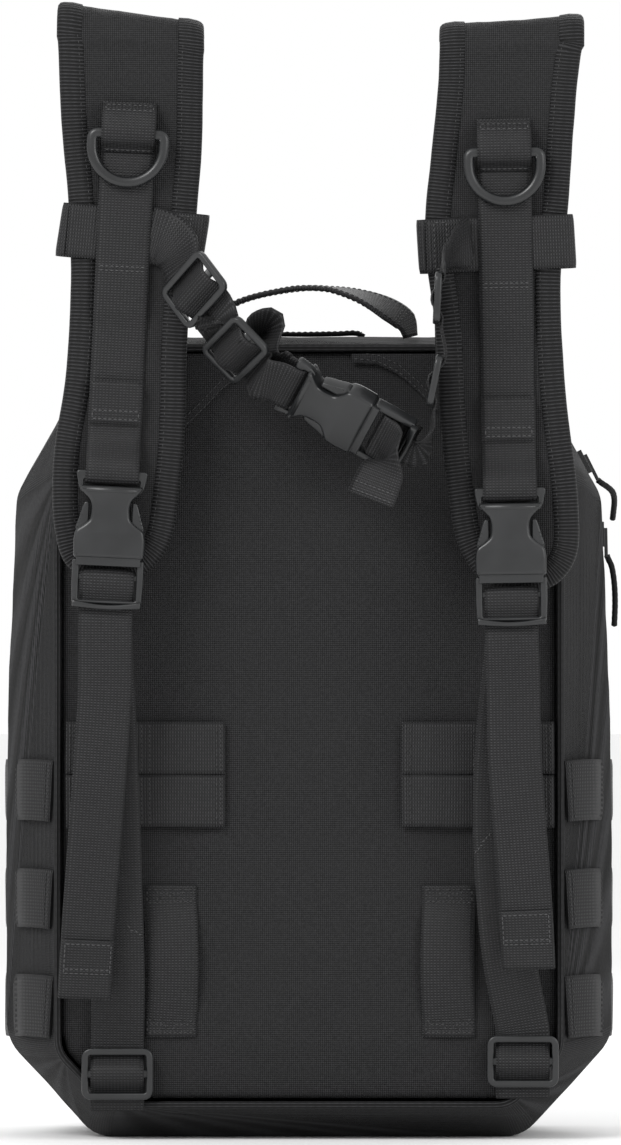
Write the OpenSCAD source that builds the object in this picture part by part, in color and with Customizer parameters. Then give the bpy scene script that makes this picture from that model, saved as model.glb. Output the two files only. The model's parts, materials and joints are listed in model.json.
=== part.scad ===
// Trauma backpack in millimetres. The padded harness side faces -Y, the zipped
// clamshell side faces +Y and +Z is up. The origin is on the base, under the rear shell.

/* [Pack body] */
// Height from the base to the top edge
pack_h = 382; // [376:1:388]
// Half width at the top of the bottom corners, the widest place
low_half_w = 144; // [140:1:148]
// Half width where the sides turn in towards the top
high_half_w = 138; // [134:1:140]
// Half width of the straight top edge
top_half_w = 100; // [94:1:106]
// Half width of the straight bottom edge
base_half_w = 102; // [96:1:108]
// Half width of the padded back panel
panel_half_w = 119; // [116:1:122]
// Depth of the rear shell, from the back panel to the main zip
shell_d = 72; // [68:1:80]
// Depth of the clamshell lid
lid_d = 36; // [32:1:40]
// Depth of the front pocket
pocket_d = 46; // [40:1:52]
// Thickness of the sewn fabric and foam walls
wall = 3; // [2.5:0.1:4]

/* [Front pocket] */
// Half width of the front pocket
pocket_half_w = 118; // [112:1:122]
// Top edge of the front pocket
pocket_top_z = 296; // [280:1:300]
// Bottom edge of the front pocket
pocket_low_z = 12; // [10:1:16]

/* [Webbing] */
// Width of the one inch webbing
web_w = 25.4; // [25:0.1:25.4]
// Thickness of the webbing
web_t = 1.6; // [1.2:0.1:1.6]

/* [Shoulder straps] */
// Thickness of the padding
pad_t = 10; // [9:0.5:10]
// Top of the folded straps
pad_top_z = 540; // [536:1:544]
// Distance from the back panel to the front face of the straps
pad_reach = 30; // [30:0.5:31]

/* [Buckles] */
// Width of the side release buckles
buckle_w = 34; // [34:0.5:36]
// Thickness of the side release buckles
buckle_t = 11; // [11:0.5:12]
// Wire diameter of the D rings
ring_wire_d = 4.5; // [4:0.1:4.6]

/* [Hidden] */
$fn = 32;

fabric = [0.13, 0.13, 0.14];
webbing = [0.20, 0.20, 0.21];
plastic = [0.08, 0.08, 0.09];
lining = [0.30, 0.31, 0.32];
gap = 0.2;

// Depths along Y
panel_y = -0.75 * shell_d;
shell_y = panel_y + shell_d;
zip_w = 6;
main_zip_y = shell_y + zip_w / 2;
lid_y = shell_y + zip_w;
lid_front_y = lid_y + lid_d;
pocket_zip_w = 4;
pocket_zip_y = lid_front_y + pocket_zip_w / 2;
flap_y = lid_front_y + pocket_zip_w;
front_y = lid_front_y + pocket_d;
flare_y = panel_y + 35;
panel_t = 8;

// Outlines seen from the harness side, right half first, as [x, z]
low_corner_z = 46;
high_corner_z = 306;
panel_low_z = 17;
panel_high_z = 376;
pack_half = [
    [base_half_w, 0], [low_half_w, low_corner_z],
    [high_half_w, high_corner_z], [top_half_w, pack_h]
];
panel_half = [
    [panel_half_w - 24, panel_low_z], [panel_half_w, 42],
    [panel_half_w, 318], [top_half_w - 4, panel_high_z]
];
pocket_half = [[pocket_half_w, pocket_low_z], [pocket_half_w, pocket_top_z]];
pack_r = 20;
panel_r = 14;
pocket_r = 30;

function unit(v) = v / norm(v);
function turn(a) = a > 180 ? a - 360 : (a < -180 ? a + 360 : a);
function both_sides(half) = concat(half, [for (i = [len(half) - 1 : -1 : 0]) [-half[i][0], half[i][1]]]);
function half_angle(u, v) = acos(u * v) / 2;

// Moves the corner b of a convex outline inwards, so that both its edges move by s
function moved_in(a, b, c, s) =
    let (u = unit(a - b), v = unit(c - b))
    b + unit(u + v) * s / sin(half_angle(u, v));

function inset(points, s) =
    let (n = len(points))
    [for (i = [0 : n - 1]) moved_in(points[(i + n - 1) % n], points[i], points[(i + 1) % n], s)];

// Points of the round that replaces the corner b
function corner_arc(a, b, c, r, steps) =
    let (
        u = unit(a - b),
        v = unit(c - b),
        centre = b + unit(u + v) * r / sin(half_angle(u, v)),
        from = b + u * r / tan(half_angle(u, v)) - centre,
        to = b + v * r / tan(half_angle(u, v)) - centre,
        start = atan2(from[1], from[0]),
        sweep = turn(atan2(to[1], to[0]) - start)
    )
    [for (i = [0 : steps]) centre + r * [cos(start + sweep * i / steps), sin(start + sweep * i / steps)]];

function rounded(points, r) =
    let (n = len(points))
    [for (i = [0 : n - 1]) each corner_arc(points[(i + n - 1) % n], points[i], points[(i + 1) % n], r, 5)];

function pack_outline(s) = rounded(inset(both_sides(pack_half), s), pack_r - s);
function panel_outline(s) = rounded(inset(both_sides(panel_half), s), panel_r - s);
function pocket_outline(s) = rounded(inset(both_sides(pocket_half), s), pocket_r - s);

// Half width of the pack's straight side at height z
side_slope = (high_half_w - low_half_w) / (high_corner_z - low_corner_z);
function side_x(z) = low_half_w + side_slope * (z - low_corner_z);

// A plate in the XZ plane from y0 to y1
module prism(points, y0, y1) {
    translate([0, y1, 0])
        rotate([90, 0, 0])
            linear_extrude(y1 - y0)
                polygon(points);
}

module frame_ring(outer, inner, y0, y1) {
    difference() {
        prism(outer, y0, y1);
        prism(inner, y0 - 1, y1 + 1);
    }
}

module box(low, high) {
    translate(low)
        cube(high - low);
}

// Webbing swept along points, with its width along the direction given at each point
function seg(p, i) = unit(p[i + 1] - p[i]);
function before(p, i) = seg(p, max(i - 1, 0));
function after(p, i) = seg(p, min(i, len(p) - 2));
function along(p, i) = unit(before(p, i) + after(p, i));
function ribbon_ring(p, u, i, w, t) =
    let (
        d = along(p, i),
        half = unit(u[i] - (u[i] * d) * d) * w / 2,
        up = cross(d, unit(half)) * t / 2 / max(0.6, d * before(p, i))
    )
    [p[i] - half - up, p[i] + half - up, p[i] + half + up, p[i] - half + up];

// Closed skin of triangles over rings with the same number of points, which run
// anticlockwise as seen from beyond the last ring
module skin(rings) {
    m = len(rings[0]);
    last = (len(rings) - 1) * m;
    polyhedron(
        points = [for (ring = rings) each ring],
        faces = concat(
            [for (k = [1 : m - 2]) [0, k, k + 1]],
            [
                for (i = [0 : len(rings) - 2], k = [0 : m - 1])
                    let (a = i * m, b = a + m, j = (k + 1) % m)
                    each [[a + k, b + k, b + j], [a + k, b + j, a + j]]
            ],
            [for (k = [1 : m - 2]) [last, last + k + 1, last + k]]
        )
    );
}

// w is one width, or a width for each point
module ribbon(p, u, w = web_w, t = web_t) {
    skin([for (i = [0 : len(p) - 1]) ribbon_ring(p, u, i, is_list(w) ? w[i] : w, t)]);
}

function same(v, n) = [for (i = [1 : n]) v];

// Pack shells
function at_y(outline, y) = [for (p = outline) [p[0], y, p[1]]];
module rear_solid(s, reach) {
    skin([
        at_y(pack_outline(s), shell_y + reach),
        at_y(pack_outline(s), flare_y),
        at_y(panel_outline(s), panel_y - reach)
    ]);
}

module rear_shell() {
    difference() {
        rear_solid(0, 0);
        rear_solid(wall, 0.5);
    }
}

split_x = top_half_w - 4;
mid_z = pack_h / 2;
far = 200;

module rear_gusset_side(side) {
    color(fabric)
        intersection() {
            rear_shell();
            if (side > 0) box([split_x + gap, -far, -1], [far, far, pack_h + 1]);
            else box([-far, -far, -1], [-split_x - gap, far, pack_h + 1]);
        }
}
module rear_gusset_left() rear_gusset_side(-1);
module rear_gusset_right() rear_gusset_side(1);

module rear_gusset_top() {
    color(fabric)
        intersection() {
            rear_shell();
            box([-split_x, -far, mid_z], [split_x, far, pack_h + 1]);
        }
}

module rear_gusset_bottom() {
    color(fabric)
        intersection() {
            rear_shell();
            box([-split_x, -far, -1], [split_x, far, mid_z]);
        }
}

module back_panel() {
    color(fabric)
        prism(panel_outline(wall + 0.3), panel_y, panel_y + panel_t);
}

frame_sheet_y = panel_y + panel_t + 0.4;
frame_sheet_t = 1.5;
module frame_sheet() {
    color("white")
        prism(panel_outline(10), frame_sheet_y, frame_sheet_y + frame_sheet_t);
}

sleeve_y = frame_sheet_y + frame_sheet_t + 0.3;
sleeve_t = 2.5;
module hydration_sleeve() {
    color(lining)
        box([-100, sleeve_y, 34], [100, sleeve_y + sleeve_t, 330]);
}

loop_y = sleeve_y + sleeve_t + gap;
loop_rows = [90, 170, 250];
module elastic_loops() {
    color(webbing)
        for (z = loop_rows)
            box([-92, loop_y, z], [92, loop_y + 4, z + web_w]);
}

piping_t = 1.6;
module panel_piping() {
    color(fabric)
        frame_ring(panel_outline(-1), panel_outline(2), panel_y - gap - piping_t, panel_y - gap);
}

// Zips: one tape on each side of the seam, left out along the sewn bottom
zip_start_z = 52;
tape_gap = 0.1;
module zip_ring(outer, inner, y0, y1) {
    intersection() {
        frame_ring(outer, inner, y0, y1);
        box([-far, y0 - 1, zip_start_z], [far, y1 + 1, pack_h + 1]);
    }
}

module rear_zip_tape() {
    color(webbing)
        zip_ring(pack_outline(0.4), pack_outline(2.4), shell_y + gap, main_zip_y - tape_gap);
}

module lid_zip_tape() {
    color(webbing)
        zip_ring(pack_outline(0.4), pack_outline(2.4), main_zip_y + tape_gap, lid_y - gap);
}

module pocket_zip_lid() {
    color(webbing)
        zip_ring(pocket_outline(0.4), pocket_outline(4), lid_front_y + gap, pocket_zip_y - tape_gap);
}

module pocket_zip_flap() {
    color(webbing)
        zip_ring(pocket_outline(0.4), pocket_outline(4), pocket_zip_y + tape_gap, flap_y - gap);
}

// Lid and front pocket
module lid_gusset() {
    color(fabric)
        frame_ring(pack_outline(0), pack_outline(wall), lid_y, lid_front_y);
}

lid_panel_t = 3.7;
lid_panel_y = lid_front_y - lid_panel_t - 0.3;
module lid_panel() {
    color(fabric)
        prism(pack_outline(wall + 0.3), lid_panel_y, lid_panel_y + lid_panel_t);
}

module mesh_pocket() {
    color(lining)
        box([-104, lid_panel_y - 2.7, 60], [104, lid_panel_y - gap, 330]);
}

flap_panel_t = 3.2;
module flap_gusset() {
    color(fabric)
        frame_ring(pocket_outline(0), pocket_outline(wall), flap_y, front_y - flap_panel_t - 0.3);
}

module flap_panel() {
    color(fabric)
        prism(pocket_outline(0), front_y - flap_panel_t, front_y);
}

row_pitch = 38;
module front_molle() {
    color(webbing)
        for (row = [0 : 3])
            translate([0, front_y + gap, 40 + row * row_pitch])
                box([-100, 0, 0], [100, web_t, web_w]);
}

module patch_field() {
    color(webbing)
        box([-60, front_y + gap, 204], [60, front_y + gap + 1.4, 256]);
}

// Webbing fields sewn on the back panel and on the sides
back_row_z = [148.2, 173.6];
module back_molle() {
    color(webbing)
        for (z = back_row_z, span = [[-114, -40], [44, 114]])
            box([span[0], panel_y - gap - web_t, z], [span[1], panel_y - gap, z + web_w - gap]);
}

belt_loop_rise = 2;
module belt_loops() {
    color(webbing)
        for (x = [-66, 66.5])
            translate([x - web_w / 2, 0, 0])
                rotate([90, 0, 90])
                    linear_extrude(web_w)
                        polygon([
                            [panel_y - gap, 121], [panel_y - gap - web_t, 121],
                            [panel_y - gap - web_t - belt_loop_rise, 96],
                            [panel_y - gap - web_t - belt_loop_rise, 74],
                            [panel_y - gap - web_t, 49], [panel_y - gap, 49],
                            [panel_y - gap - belt_loop_rise, 74], [panel_y - gap - belt_loop_rise, 96]
                        ]);
}

side_rows = [[48, 77.6], [100, 128], [151, 180]];
side_off = 1.9;
module side_molle() {
    color(webbing)
        for (side = [-1, 1], row = side_rows)
            translate([0, 0, row[0]])
                linear_extrude(row[1] - row[0])
                    let (x = side_x(row[0]) + side_off, seam = panel_half_w + side_off + 1.4)
                    polygon([
                        [side * seam, panel_y + 3], [side * x, flare_y], [side * x, shell_y - 4],
                        [side * (x + web_t), shell_y - 4], [side * (x + web_t), flare_y - 0.6],
                        [side * (seam + web_t), panel_y + 2.2]
                    ]);
}

yoke_t = 1.6;
yoke_outline = [[107, 337], [61, 337], [32, 366], [32, 372], [90, 371], [107, 340]];
module yokes() {
    color(fabric)
        for (side = [-1, 1])
            prism(
                [for (p = yoke_outline) [side * p[0], p[1]]],
                panel_y - gap - yoke_t, panel_y - gap
            );
}

module port_flap() {
    color(fabric)
        box([-27, -14, pack_h + gap], [26, 6, pack_h + gap + 2.6]);
}

// Shoulder straps: a front run, the fold at the top and a rear run down to the yoke
pad_front_y = panel_y - pad_reach;
fold_gap = 8;
fold_y = pad_front_y + pad_t + fold_gap / 2;
fold_r = pad_t + fold_gap / 2;
fold_z = pad_top_z - fold_r;
pad_left = [
    [-118, fold_z], [-116, 484], [-112.5, 445], [-111.5, 405], [-114, 361], [-119.5, 325], [-119, 290],
    [-113, 273], [-97, 267], [-79, 270], [-68, 282], [-63, 306], [-60, 337], [-59, 375], [-55, 432],
    [-52, 472], [-51, fold_z]
];
pad_right = [
    [63, fold_z], [62.5, 507], [59, 467], [56, 427], [61, 385], [63, 347], [67, 308], [73, 280],
    [84, 266], [99, 261], [116, 265], [125, 277], [126, 302], [122, 338], [119, 370], [118, 413],
    [121, 441], [126, 507], [129, fold_z]
];
rear_run_z = 346;

function half_turn(r, from, to) = [
    for (i = [0 : 12])
        let (a = from + (to - from) * i / 12)
        [fold_y + r * cos(a), fold_z + r * sin(a)]
];
fold_leg = 3;
fold_section = concat(
    [[fold_y - fold_r, fold_z - fold_leg]],
    half_turn(fold_r, 180, 0),
    [[fold_y + fold_r, fold_z - fold_leg], [fold_y + fold_gap / 2, fold_z - fold_leg]],
    half_turn(fold_gap / 2, 0, 180),
    [[fold_y - fold_gap / 2, fold_z - fold_leg]]
);

module shoulder_pad(outline, x0, x1, rear_x0, rear_x1) {
    color(fabric)
        union() {
            prism(outline, pad_front_y, pad_front_y + pad_t);
            translate([x0, 0, 0])
                rotate([90, 0, 90])
                    linear_extrude(x1 - x0)
                        polygon(fold_section);
            prism(
                [
                    [x0, fold_z], [rear_x0, rear_run_z + 60], [rear_x0, rear_run_z],
                    [rear_x1, rear_run_z], [rear_x1, rear_run_z + 60], [x1, fold_z]
                ],
                fold_y + fold_gap / 2, fold_y + fold_r
            );
        }
}
module shoulder_pad_left() shoulder_pad(pad_left, -118, -51, -111, -58);
module shoulder_pad_right() shoulder_pad(pad_right, 63, 129, 60, 113);

// Each strap's own line: the mouth of its buckle, and its lean in degrees
buckle_y = pad_front_y - 8.5;
strap_mouth = [[-94.7, buckle_y, 276], [95.4, buckle_y, 268]];
strap_lean = [2.7, -0.9];
function on_strap(i, y, z) = strap_mouth[i] + [z * sin(strap_lean[i]), y, z * cos(strap_lean[i])];
module on_strap_line(i) {
    translate(strap_mouth[i])
        rotate([0, strap_lean[i], 0])
            children();
}
ring_bar_z = [201, 200];
strap_top_z = 214;

// Side release buckle. Its mouth is at z = 0, the female half above it, the male half below
body_h = 33;
bar_loop_h = 41;
window = [13, 30];
cavity_w = buckle_w - 5.6;
cavity_t = buckle_t - 3.8;
slot_w = 26.6;
lip = 0.3;
bar_t = 4;

module block(w, t, z0, z1) {
    translate([-w / 2, -t / 2, z0])
        cube([w, t, z1 - z0]);
}

module buckle_female() {
    color(plastic)
        difference() {
            union() {
                block(buckle_w, buckle_t, 0, body_h);
                block(buckle_w, bar_t, body_h - 1, bar_loop_h);
            }
            block(cavity_w, cavity_t, -1, window[1]);
            block(buckle_w + 2, cavity_t, window[0], window[1]);
            block(buckle_w - 2, 5, -1, window[0] + 1);
            block(slot_w, bar_t + 2, body_h + 0.4, bar_loop_h - 3.3);
        }
}

frame_h = 23;
module buckle_male() {
    color(plastic)
        difference() {
            union() {
                block(buckle_w, buckle_t - 1, -6, -lip);
                block(buckle_w, 5, -frame_h, -5.5);
                block(5, cavity_t - 1, -1, 24);
            }
            block(slot_w, 20, -11, -6);
            block(slot_w, 20, -19.7, -14.4);
        }
}

// One sprung arm: a straight leg and the catch that shows in the window
arm_x = 11;
module buckle_arm(side) {
    color(plastic)
        union() {
            translate([side * arm_x, 0, 0])
                block(3, cavity_t - 1, 0.5, 27);
            translate([side * 13.9, 0, 0])
                block(3.6, 4.2, 15, 27);
        }
}

module buckle_female_left() on_strap_line(0) buckle_female();
module buckle_female_right() on_strap_line(1) buckle_female();
module buckle_male_left() on_strap_line(0) buckle_male();
module buckle_male_right() on_strap_line(1) buckle_male();
module arm_left_inner() on_strap_line(0) buckle_arm(1);
module arm_left_outer() on_strap_line(0) buckle_arm(-1);
module arm_right_inner() on_strap_line(1) buckle_arm(-1);
module arm_right_outer() on_strap_line(1) buckle_arm(1);

// Webbing on the front of each strap, with the ring holder, down round the buckle's bar.
// It stands off the padding where the sternum strap passes under it
face = pad_front_y - buckle_y;
strap_run = [
    [face - 1, strap_top_z], [face - 1, 196], [face - 3, 188], [face - 3, 118], [face - 1, 110],
    [face - 1, 53], [3, 42], [3, 36.8], [1.2, 35.4], [-1.2, 35.4], [-3, 36.8], [-3, 44], [face - 2.9, 60],
    [face - 2.9, 78]
];
ring_y = face - 3 - web_t - 2.4;
holder_bore = ring_wire_d + 0.12;

module strap_webbing(i) {
    color(webbing)
        union() {
            ribbon([for (p = strap_run) on_strap(i, p[0], p[1])], same([1, 0, 0], len(strap_run)));
            on_strap_line(i)
                difference() {
                    translate([-web_w / 2, ring_y - 3.6, ring_bar_z[i] - 3.6])
                        cube([web_w, 7.2, strap_top_z - ring_bar_z[i] + 3.6]);
                    translate([0, ring_y, ring_bar_z[i]])
                        rotate([0, 90, 0])
                            cylinder(h = 40, d = holder_bore, center = true);
                }
        }
}
module strap_webbing_left() strap_webbing(0);
module strap_webbing_right() strap_webbing(1);

// D ring: a straight bar in the holder, two short legs and a round bow
ring_half_w = 16.25;
ring_leg = 6;
module d_ring(i) {
    color(plastic)
        on_strap_line(i)
            translate([0, ring_y, ring_bar_z[i]])
                union() {
                    rotate([0, 90, 0])
                        cylinder(h = 2 * ring_half_w, d = ring_wire_d, center = true);
                    for (side = [-1, 1]) {
                        translate([side * ring_half_w, 0, -ring_leg])
                            cylinder(h = ring_leg, d = ring_wire_d);
                        translate([side * ring_half_w, 0, 0])
                            sphere(d = ring_wire_d);
                    }
                    translate([0, 0, -ring_leg])
                        rotate([90, 0, 0])
                            intersection() {
                                rotate_extrude()
                                    translate([ring_half_w, 0])
                                        circle(d = ring_wire_d);
                                translate([-30, -60, -10])
                                    cube([60, 60, 20]);
                            }
                }
}
module d_ring_left() d_ring(0);
module d_ring_right() d_ring(1);

// Tri glide: a flat frame with two slots, and the webbing's way through it
glide_h = 24.5;
glide_t = 3.2;
glide_bar = 2;
glide_slot = 9;
module triglide() {
    color(plastic)
        difference() {
            block(buckle_w, glide_t, -glide_h / 2, glide_h / 2);
            block(slot_w, 10, glide_bar, glide_slot);
            block(slot_w, 10, -glide_slot, -glide_bar);
        }
}
function weave(c, d, n) = [
    for (p = [[3.1, 14], [2.9, 8.6], [-2.7, 2.5], [-2.7, -2.5], [2.9, -8.6], [3.1, -14]])
        c + n * p[0] + d * p[1]
];

// Lower straps: from each male buckle down through its tri glide to the bottom seam
glide_y = panel_y - 5.8;
low_glide = [[-91, glide_y, 31.5], [101.5, glide_y, 37.5]];
module lower_triglides() {
    for (c = low_glide)
        translate(c)
            triglide();
}

frame_back = 3.6;
module lower_strap(i) {
    p = concat(
        [on_strap(i, frame_back, -frame_h - 1.6)],
        weave(low_glide[i], [0, 0, 1], [0, 1, 0]),
        [[low_glide[i][0], panel_y - 2.7, low_glide[i][2] - 17]]
    );
    color(webbing)
        ribbon(p, same([1, 0, 0], len(p)));
}
module lower_strap_left() lower_strap(0);
module lower_strap_right() lower_strap(1);

// Free tails: round the male buckle's middle bar, then hanging in front of the lower strap
tail_turn = [[frame_back, -frame_h], [frame_back, -11], [1.5, -8.4], [-1.5, -8.4], [-3.6, -11], [-3.6, -23]];
tail_end = [
    [[-98, -90, 205], [-102, -84, 140], [-106.5, -76, 68]],
    [[98, -89, 200], [101, -84, 140], [104, -78, 82]]
];
tail_tab_t = 1.4;
module strap_tail(i) {
    p = concat([for (q = tail_turn) on_strap(i, q[0], q[1])], tail_end[i]);
    last = tail_end[i][2];
    back = unit(tail_end[i][1] - last);
    color(webbing)
        union() {
            ribbon(p, same([1, 0, 0], len(p)), t = 1.4);
            ribbon(
                [last + back * 28 + [0, -tail_tab_t, 0], last + [0, -tail_tab_t, 0]],
                same([1, 0, 0], 2), t = 1.4
            );
        }
}
module strap_tail_left() strap_tail(0);
module strap_tail_right() strap_tail(1);

// Sternum strap: a loop round each pad, tri glides, webbing and a buckle between them
clear = 0.5;
loop_t = 1.4;
module sternum_loop(x0, x1, z) {
    color(webbing)
        difference() {
            box(
                [x0 - loop_t, pad_front_y - clear - loop_t, z - web_w / 2],
                [x1 + loop_t, pad_front_y + pad_t + clear + loop_t, z + web_w / 2]
            );
            box(
                [x0, pad_front_y - clear, z - web_w],
                [x1, pad_front_y + pad_t + clear, z + web_w]
            );
        }
}
module sternum_loop_left() sternum_loop(-116, -51, 429);
module sternum_loop_right() sternum_loop(53.6, 123.6, 425);

sternum_mouth = [26, pad_front_y - 18.5, 339.3];
sternum_tilt = -61.5;
sternum_roll = -40;
function roll(v) = [
    v[0] * cos(sternum_roll) - v[1] * sin(sternum_roll),
    v[0] * sin(sternum_roll) + v[1] * cos(sternum_roll),
    v[2]
];
function tilt(v) = [
    v[0] * cos(sternum_tilt) + v[2] * sin(sternum_tilt),
    v[1],
    v[2] * cos(sternum_tilt) - v[0] * sin(sternum_tilt)
];
function on_sternum(v) = sternum_mouth + tilt(roll(v));
module on_sternum_line() {
    translate(sternum_mouth)
        rotate([0, sternum_tilt, 0])
            rotate([0, 0, sternum_roll])
                children();
}
module sternum_female() on_sternum_line() buckle_female();
module sternum_male() on_sternum_line() buckle_male();
module sternum_arm_upper() on_sternum_line() buckle_arm(1);
module sternum_arm_lower() on_sternum_line() buckle_arm(-1);

// Each tri glide: its centre, the webbing's way and the webbing's width
glide_frames = [
    [[-54, -100, 403], [0.57, -0.25, -0.76], [0.53, -0.57, 0.63]],
    [[-34.6, -102.5, 374.6], [0.69, 0, -0.72], [0.45, -0.68, 0.45]],
    [[59, -103.5, 360], [-0.2, 0, -0.98], [0, -1, 0]],
    [[60.5, -104, 399], [-0.05, 0, -1], [0, -1, 0]]
];
function glide_way(f) = unit(f[1]);
function glide_across(f) = unit(f[2] - (f[2] * glide_way(f)) * glide_way(f));
function glide_up(f) = cross(glide_across(f), glide_way(f));
module sternum_triglides() {
    for (f = glide_frames)
        let (c = f[0], x = glide_across(f), y = glide_up(f), z = -glide_way(f))
        multmatrix([
            [x[0], y[0], z[0], c[0]],
            [x[1], y[1], z[1], c[1]],
            [x[2], y[2], z[2], c[2]],
            [0, 0, 0, 1]
        ])
            triglide();
}

function through(f) = weave(f[0], -glide_way(f), glide_up(f));
female_bar = [for (q = [[0, -3.4, 46], [0, -3.2, 37], [0, 0, 35.4], [0, 3.2, 37]]) on_sternum(q)];
bar_across = tilt(roll([1, 0, 0]));

module sternum_web_left() {
    p = concat(
        [[-60.6, -88, 431]],
        through(glide_frames[0]),
        through(glide_frames[1]),
        female_bar
    );
    u = concat(
        [[0.97, -0.1, 0.15]],
        same(glide_across(glide_frames[0]), 6),
        same(glide_across(glide_frames[1]), 6),
        same(bar_across, 4)
    );
    color(webbing)
        ribbon(p, u, t = 1.4);
}

male_back = on_sternum([0, frame_back, -frame_h - 3.5]);
module sternum_web_right() {
    p = concat(
        [[77, -87.6, 426], [68, -97, 423]],
        through(glide_frames[3]),
        through(glide_frames[2]),
        [[57.5, -102, 337], male_back]
    );
    u = concat(
        [[0, 0, 1], [0, -0.5, 0.8]],
        same([0, -1, 0], 12),
        [[0.15, -0.9, 0.35], bar_across]
    );
    color(webbing)
        ribbon(p, u, t = 1.4);
}

sternum_turn = concat([for (i = [0 : 4]) tail_turn[i]], [[-5.5, -15], [-8, -18], [-11, -19.5]]);
module sternum_tail() {
    p = concat([for (q = sternum_turn) on_sternum([0, q[0], q[1]])], [[36, -110.5, 314]]);
    color(webbing)
        ribbon(p, same(bar_across, len(p)), t = 1.4);
}

// Carry handle: gathered narrow where it is sewn into the top seam at both ends
handle_y = -36;
handle_run = [
    [-48, 381.6], [-45, 389], [-34, 398], [-18, 403], [0, 404.5],
    [18, 402.5], [32, 397], [44, 389], [48, 381.6]
];
handle_widths = [3, 9, 18, 22, 22, 22, 18, 9, 3];
module carry_handle() {
    color(webbing)
        ribbon(
            [for (q = handle_run) [q[0], handle_y, q[1]]],
            same([0, 1, 0], len(handle_run)), w = handle_widths, t = 2
        );
}

// Zip sliders: a plate over the teeth and a pull with an eye for its cord
slider_off = 0.5;
module zip_slider() {
    color(plastic)
        union() {
            translate([0, -4.5, -6])
                cube([3, 9, 12]);
            difference() {
                translate([3, -2.5, -11])
                    cube([1.6, 5, 14]);
                translate([2, 0, -8.6])
                    rotate([0, 90, 0])
                        cylinder(h = 4, d = 3.2);
            }
        }
}

side_lean = atan((low_half_w - high_half_w) / (high_corner_z - low_corner_z));
slope_lean = atan((high_half_w - top_half_w) / (pack_h - high_corner_z));
low_slider_z = 288;
high_slider_z = 322;
low_slider_at = [side_x(low_slider_z) + slider_off, main_zip_y, low_slider_z];
high_slider_x = high_half_w - (high_slider_z - high_corner_z) * tan(slope_lean);
high_slider_at = [high_slider_x + slider_off + 0.2, main_zip_y, high_slider_z];
module zip_slider_lower() translate(low_slider_at) rotate([0, -side_lean, 0]) zip_slider();
module zip_slider_upper() translate(high_slider_at) rotate([0, -slope_lean, 0]) zip_slider();

// The pocket's slider sits on the flap's half of its zip, clear of the lid
pocket_slider_y = pocket_zip_y + 3;
module pocket_slider() {
    translate([80, pocket_slider_y, pocket_top_z + slider_off])
        rotate([0, -90, 0])
            zip_slider();
}

// Pull cords: short lengths of cord that hang from the eyes of the main sliders
cord_d = 3;
cord_low = [
    [143.2, 21, 278], [144, 21, 276], [145.4, 21, 273], [146.4, 21, 268],
    [147, 21, 262], [147.2, 21, 255], [147, 21, 248], [146.8, 21, 244]
];
cord_high = [
    [139, 21, 314], [140.8, 22, 312.6], [143.6, 24.5, 310.8], [146, 28, 308.6], [147, 32, 306],
    [147.2, 36, 303], [147, 40, 300], [146.8, 43, 297.5], [146.6, 45, 295.6]
];
cord_sides = 8;
function cord_ring(p, i) =
    let (d = along(p, i), a = unit([0, 1, 0] - d[1] * d), b = cross(d, a))
    [for (k = [0 : cord_sides - 1])
        let (turn = 360 * k / cord_sides)
        p[i] + cord_d / 2 * (cos(turn) * a + sin(turn) * b)];
module cord(p) {
    color(plastic)
        skin([for (i = [0 : len(p) - 1]) cord_ring(p, i)]);
}
module pull_cord_lower() cord(cord_low);
module pull_cord_upper() cord(cord_high);

back_panel();
frame_sheet();
rear_gusset_left();
rear_gusset_right();
rear_gusset_top();
rear_gusset_bottom();
panel_piping();
rear_zip_tape();
back_molle();
belt_loops();
side_molle();
yokes();
port_flap();
hydration_sleeve();
elastic_loops();
shoulder_pad_left();
shoulder_pad_right();
strap_webbing_left();
strap_webbing_right();
buckle_female_left();
buckle_female_right();
lower_strap_left();
lower_strap_right();
lower_triglides();
sternum_loop_left();
sternum_loop_right();
sternum_web_left();
sternum_web_right();
sternum_triglides();
sternum_female();
sternum_male();
sternum_tail();
sternum_arm_upper();
sternum_arm_lower();
buckle_male_left();
buckle_male_right();
strap_tail_left();
strap_tail_right();
arm_left_inner();
arm_left_outer();
arm_right_inner();
arm_right_outer();
d_ring_left();
d_ring_right();
carry_handle();
lid_gusset();
lid_panel();
lid_zip_tape();
mesh_pocket();
pocket_zip_lid();
flap_gusset();
flap_panel();
pocket_zip_flap();
front_molle();
patch_field();
zip_slider_upper();
zip_slider_lower();
pocket_slider();
pull_cord_upper();
pull_cord_lower();
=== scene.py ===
"""Trauma backpack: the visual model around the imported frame. Lengths in the tables are millimetres, but the cord points are metres."""

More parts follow.
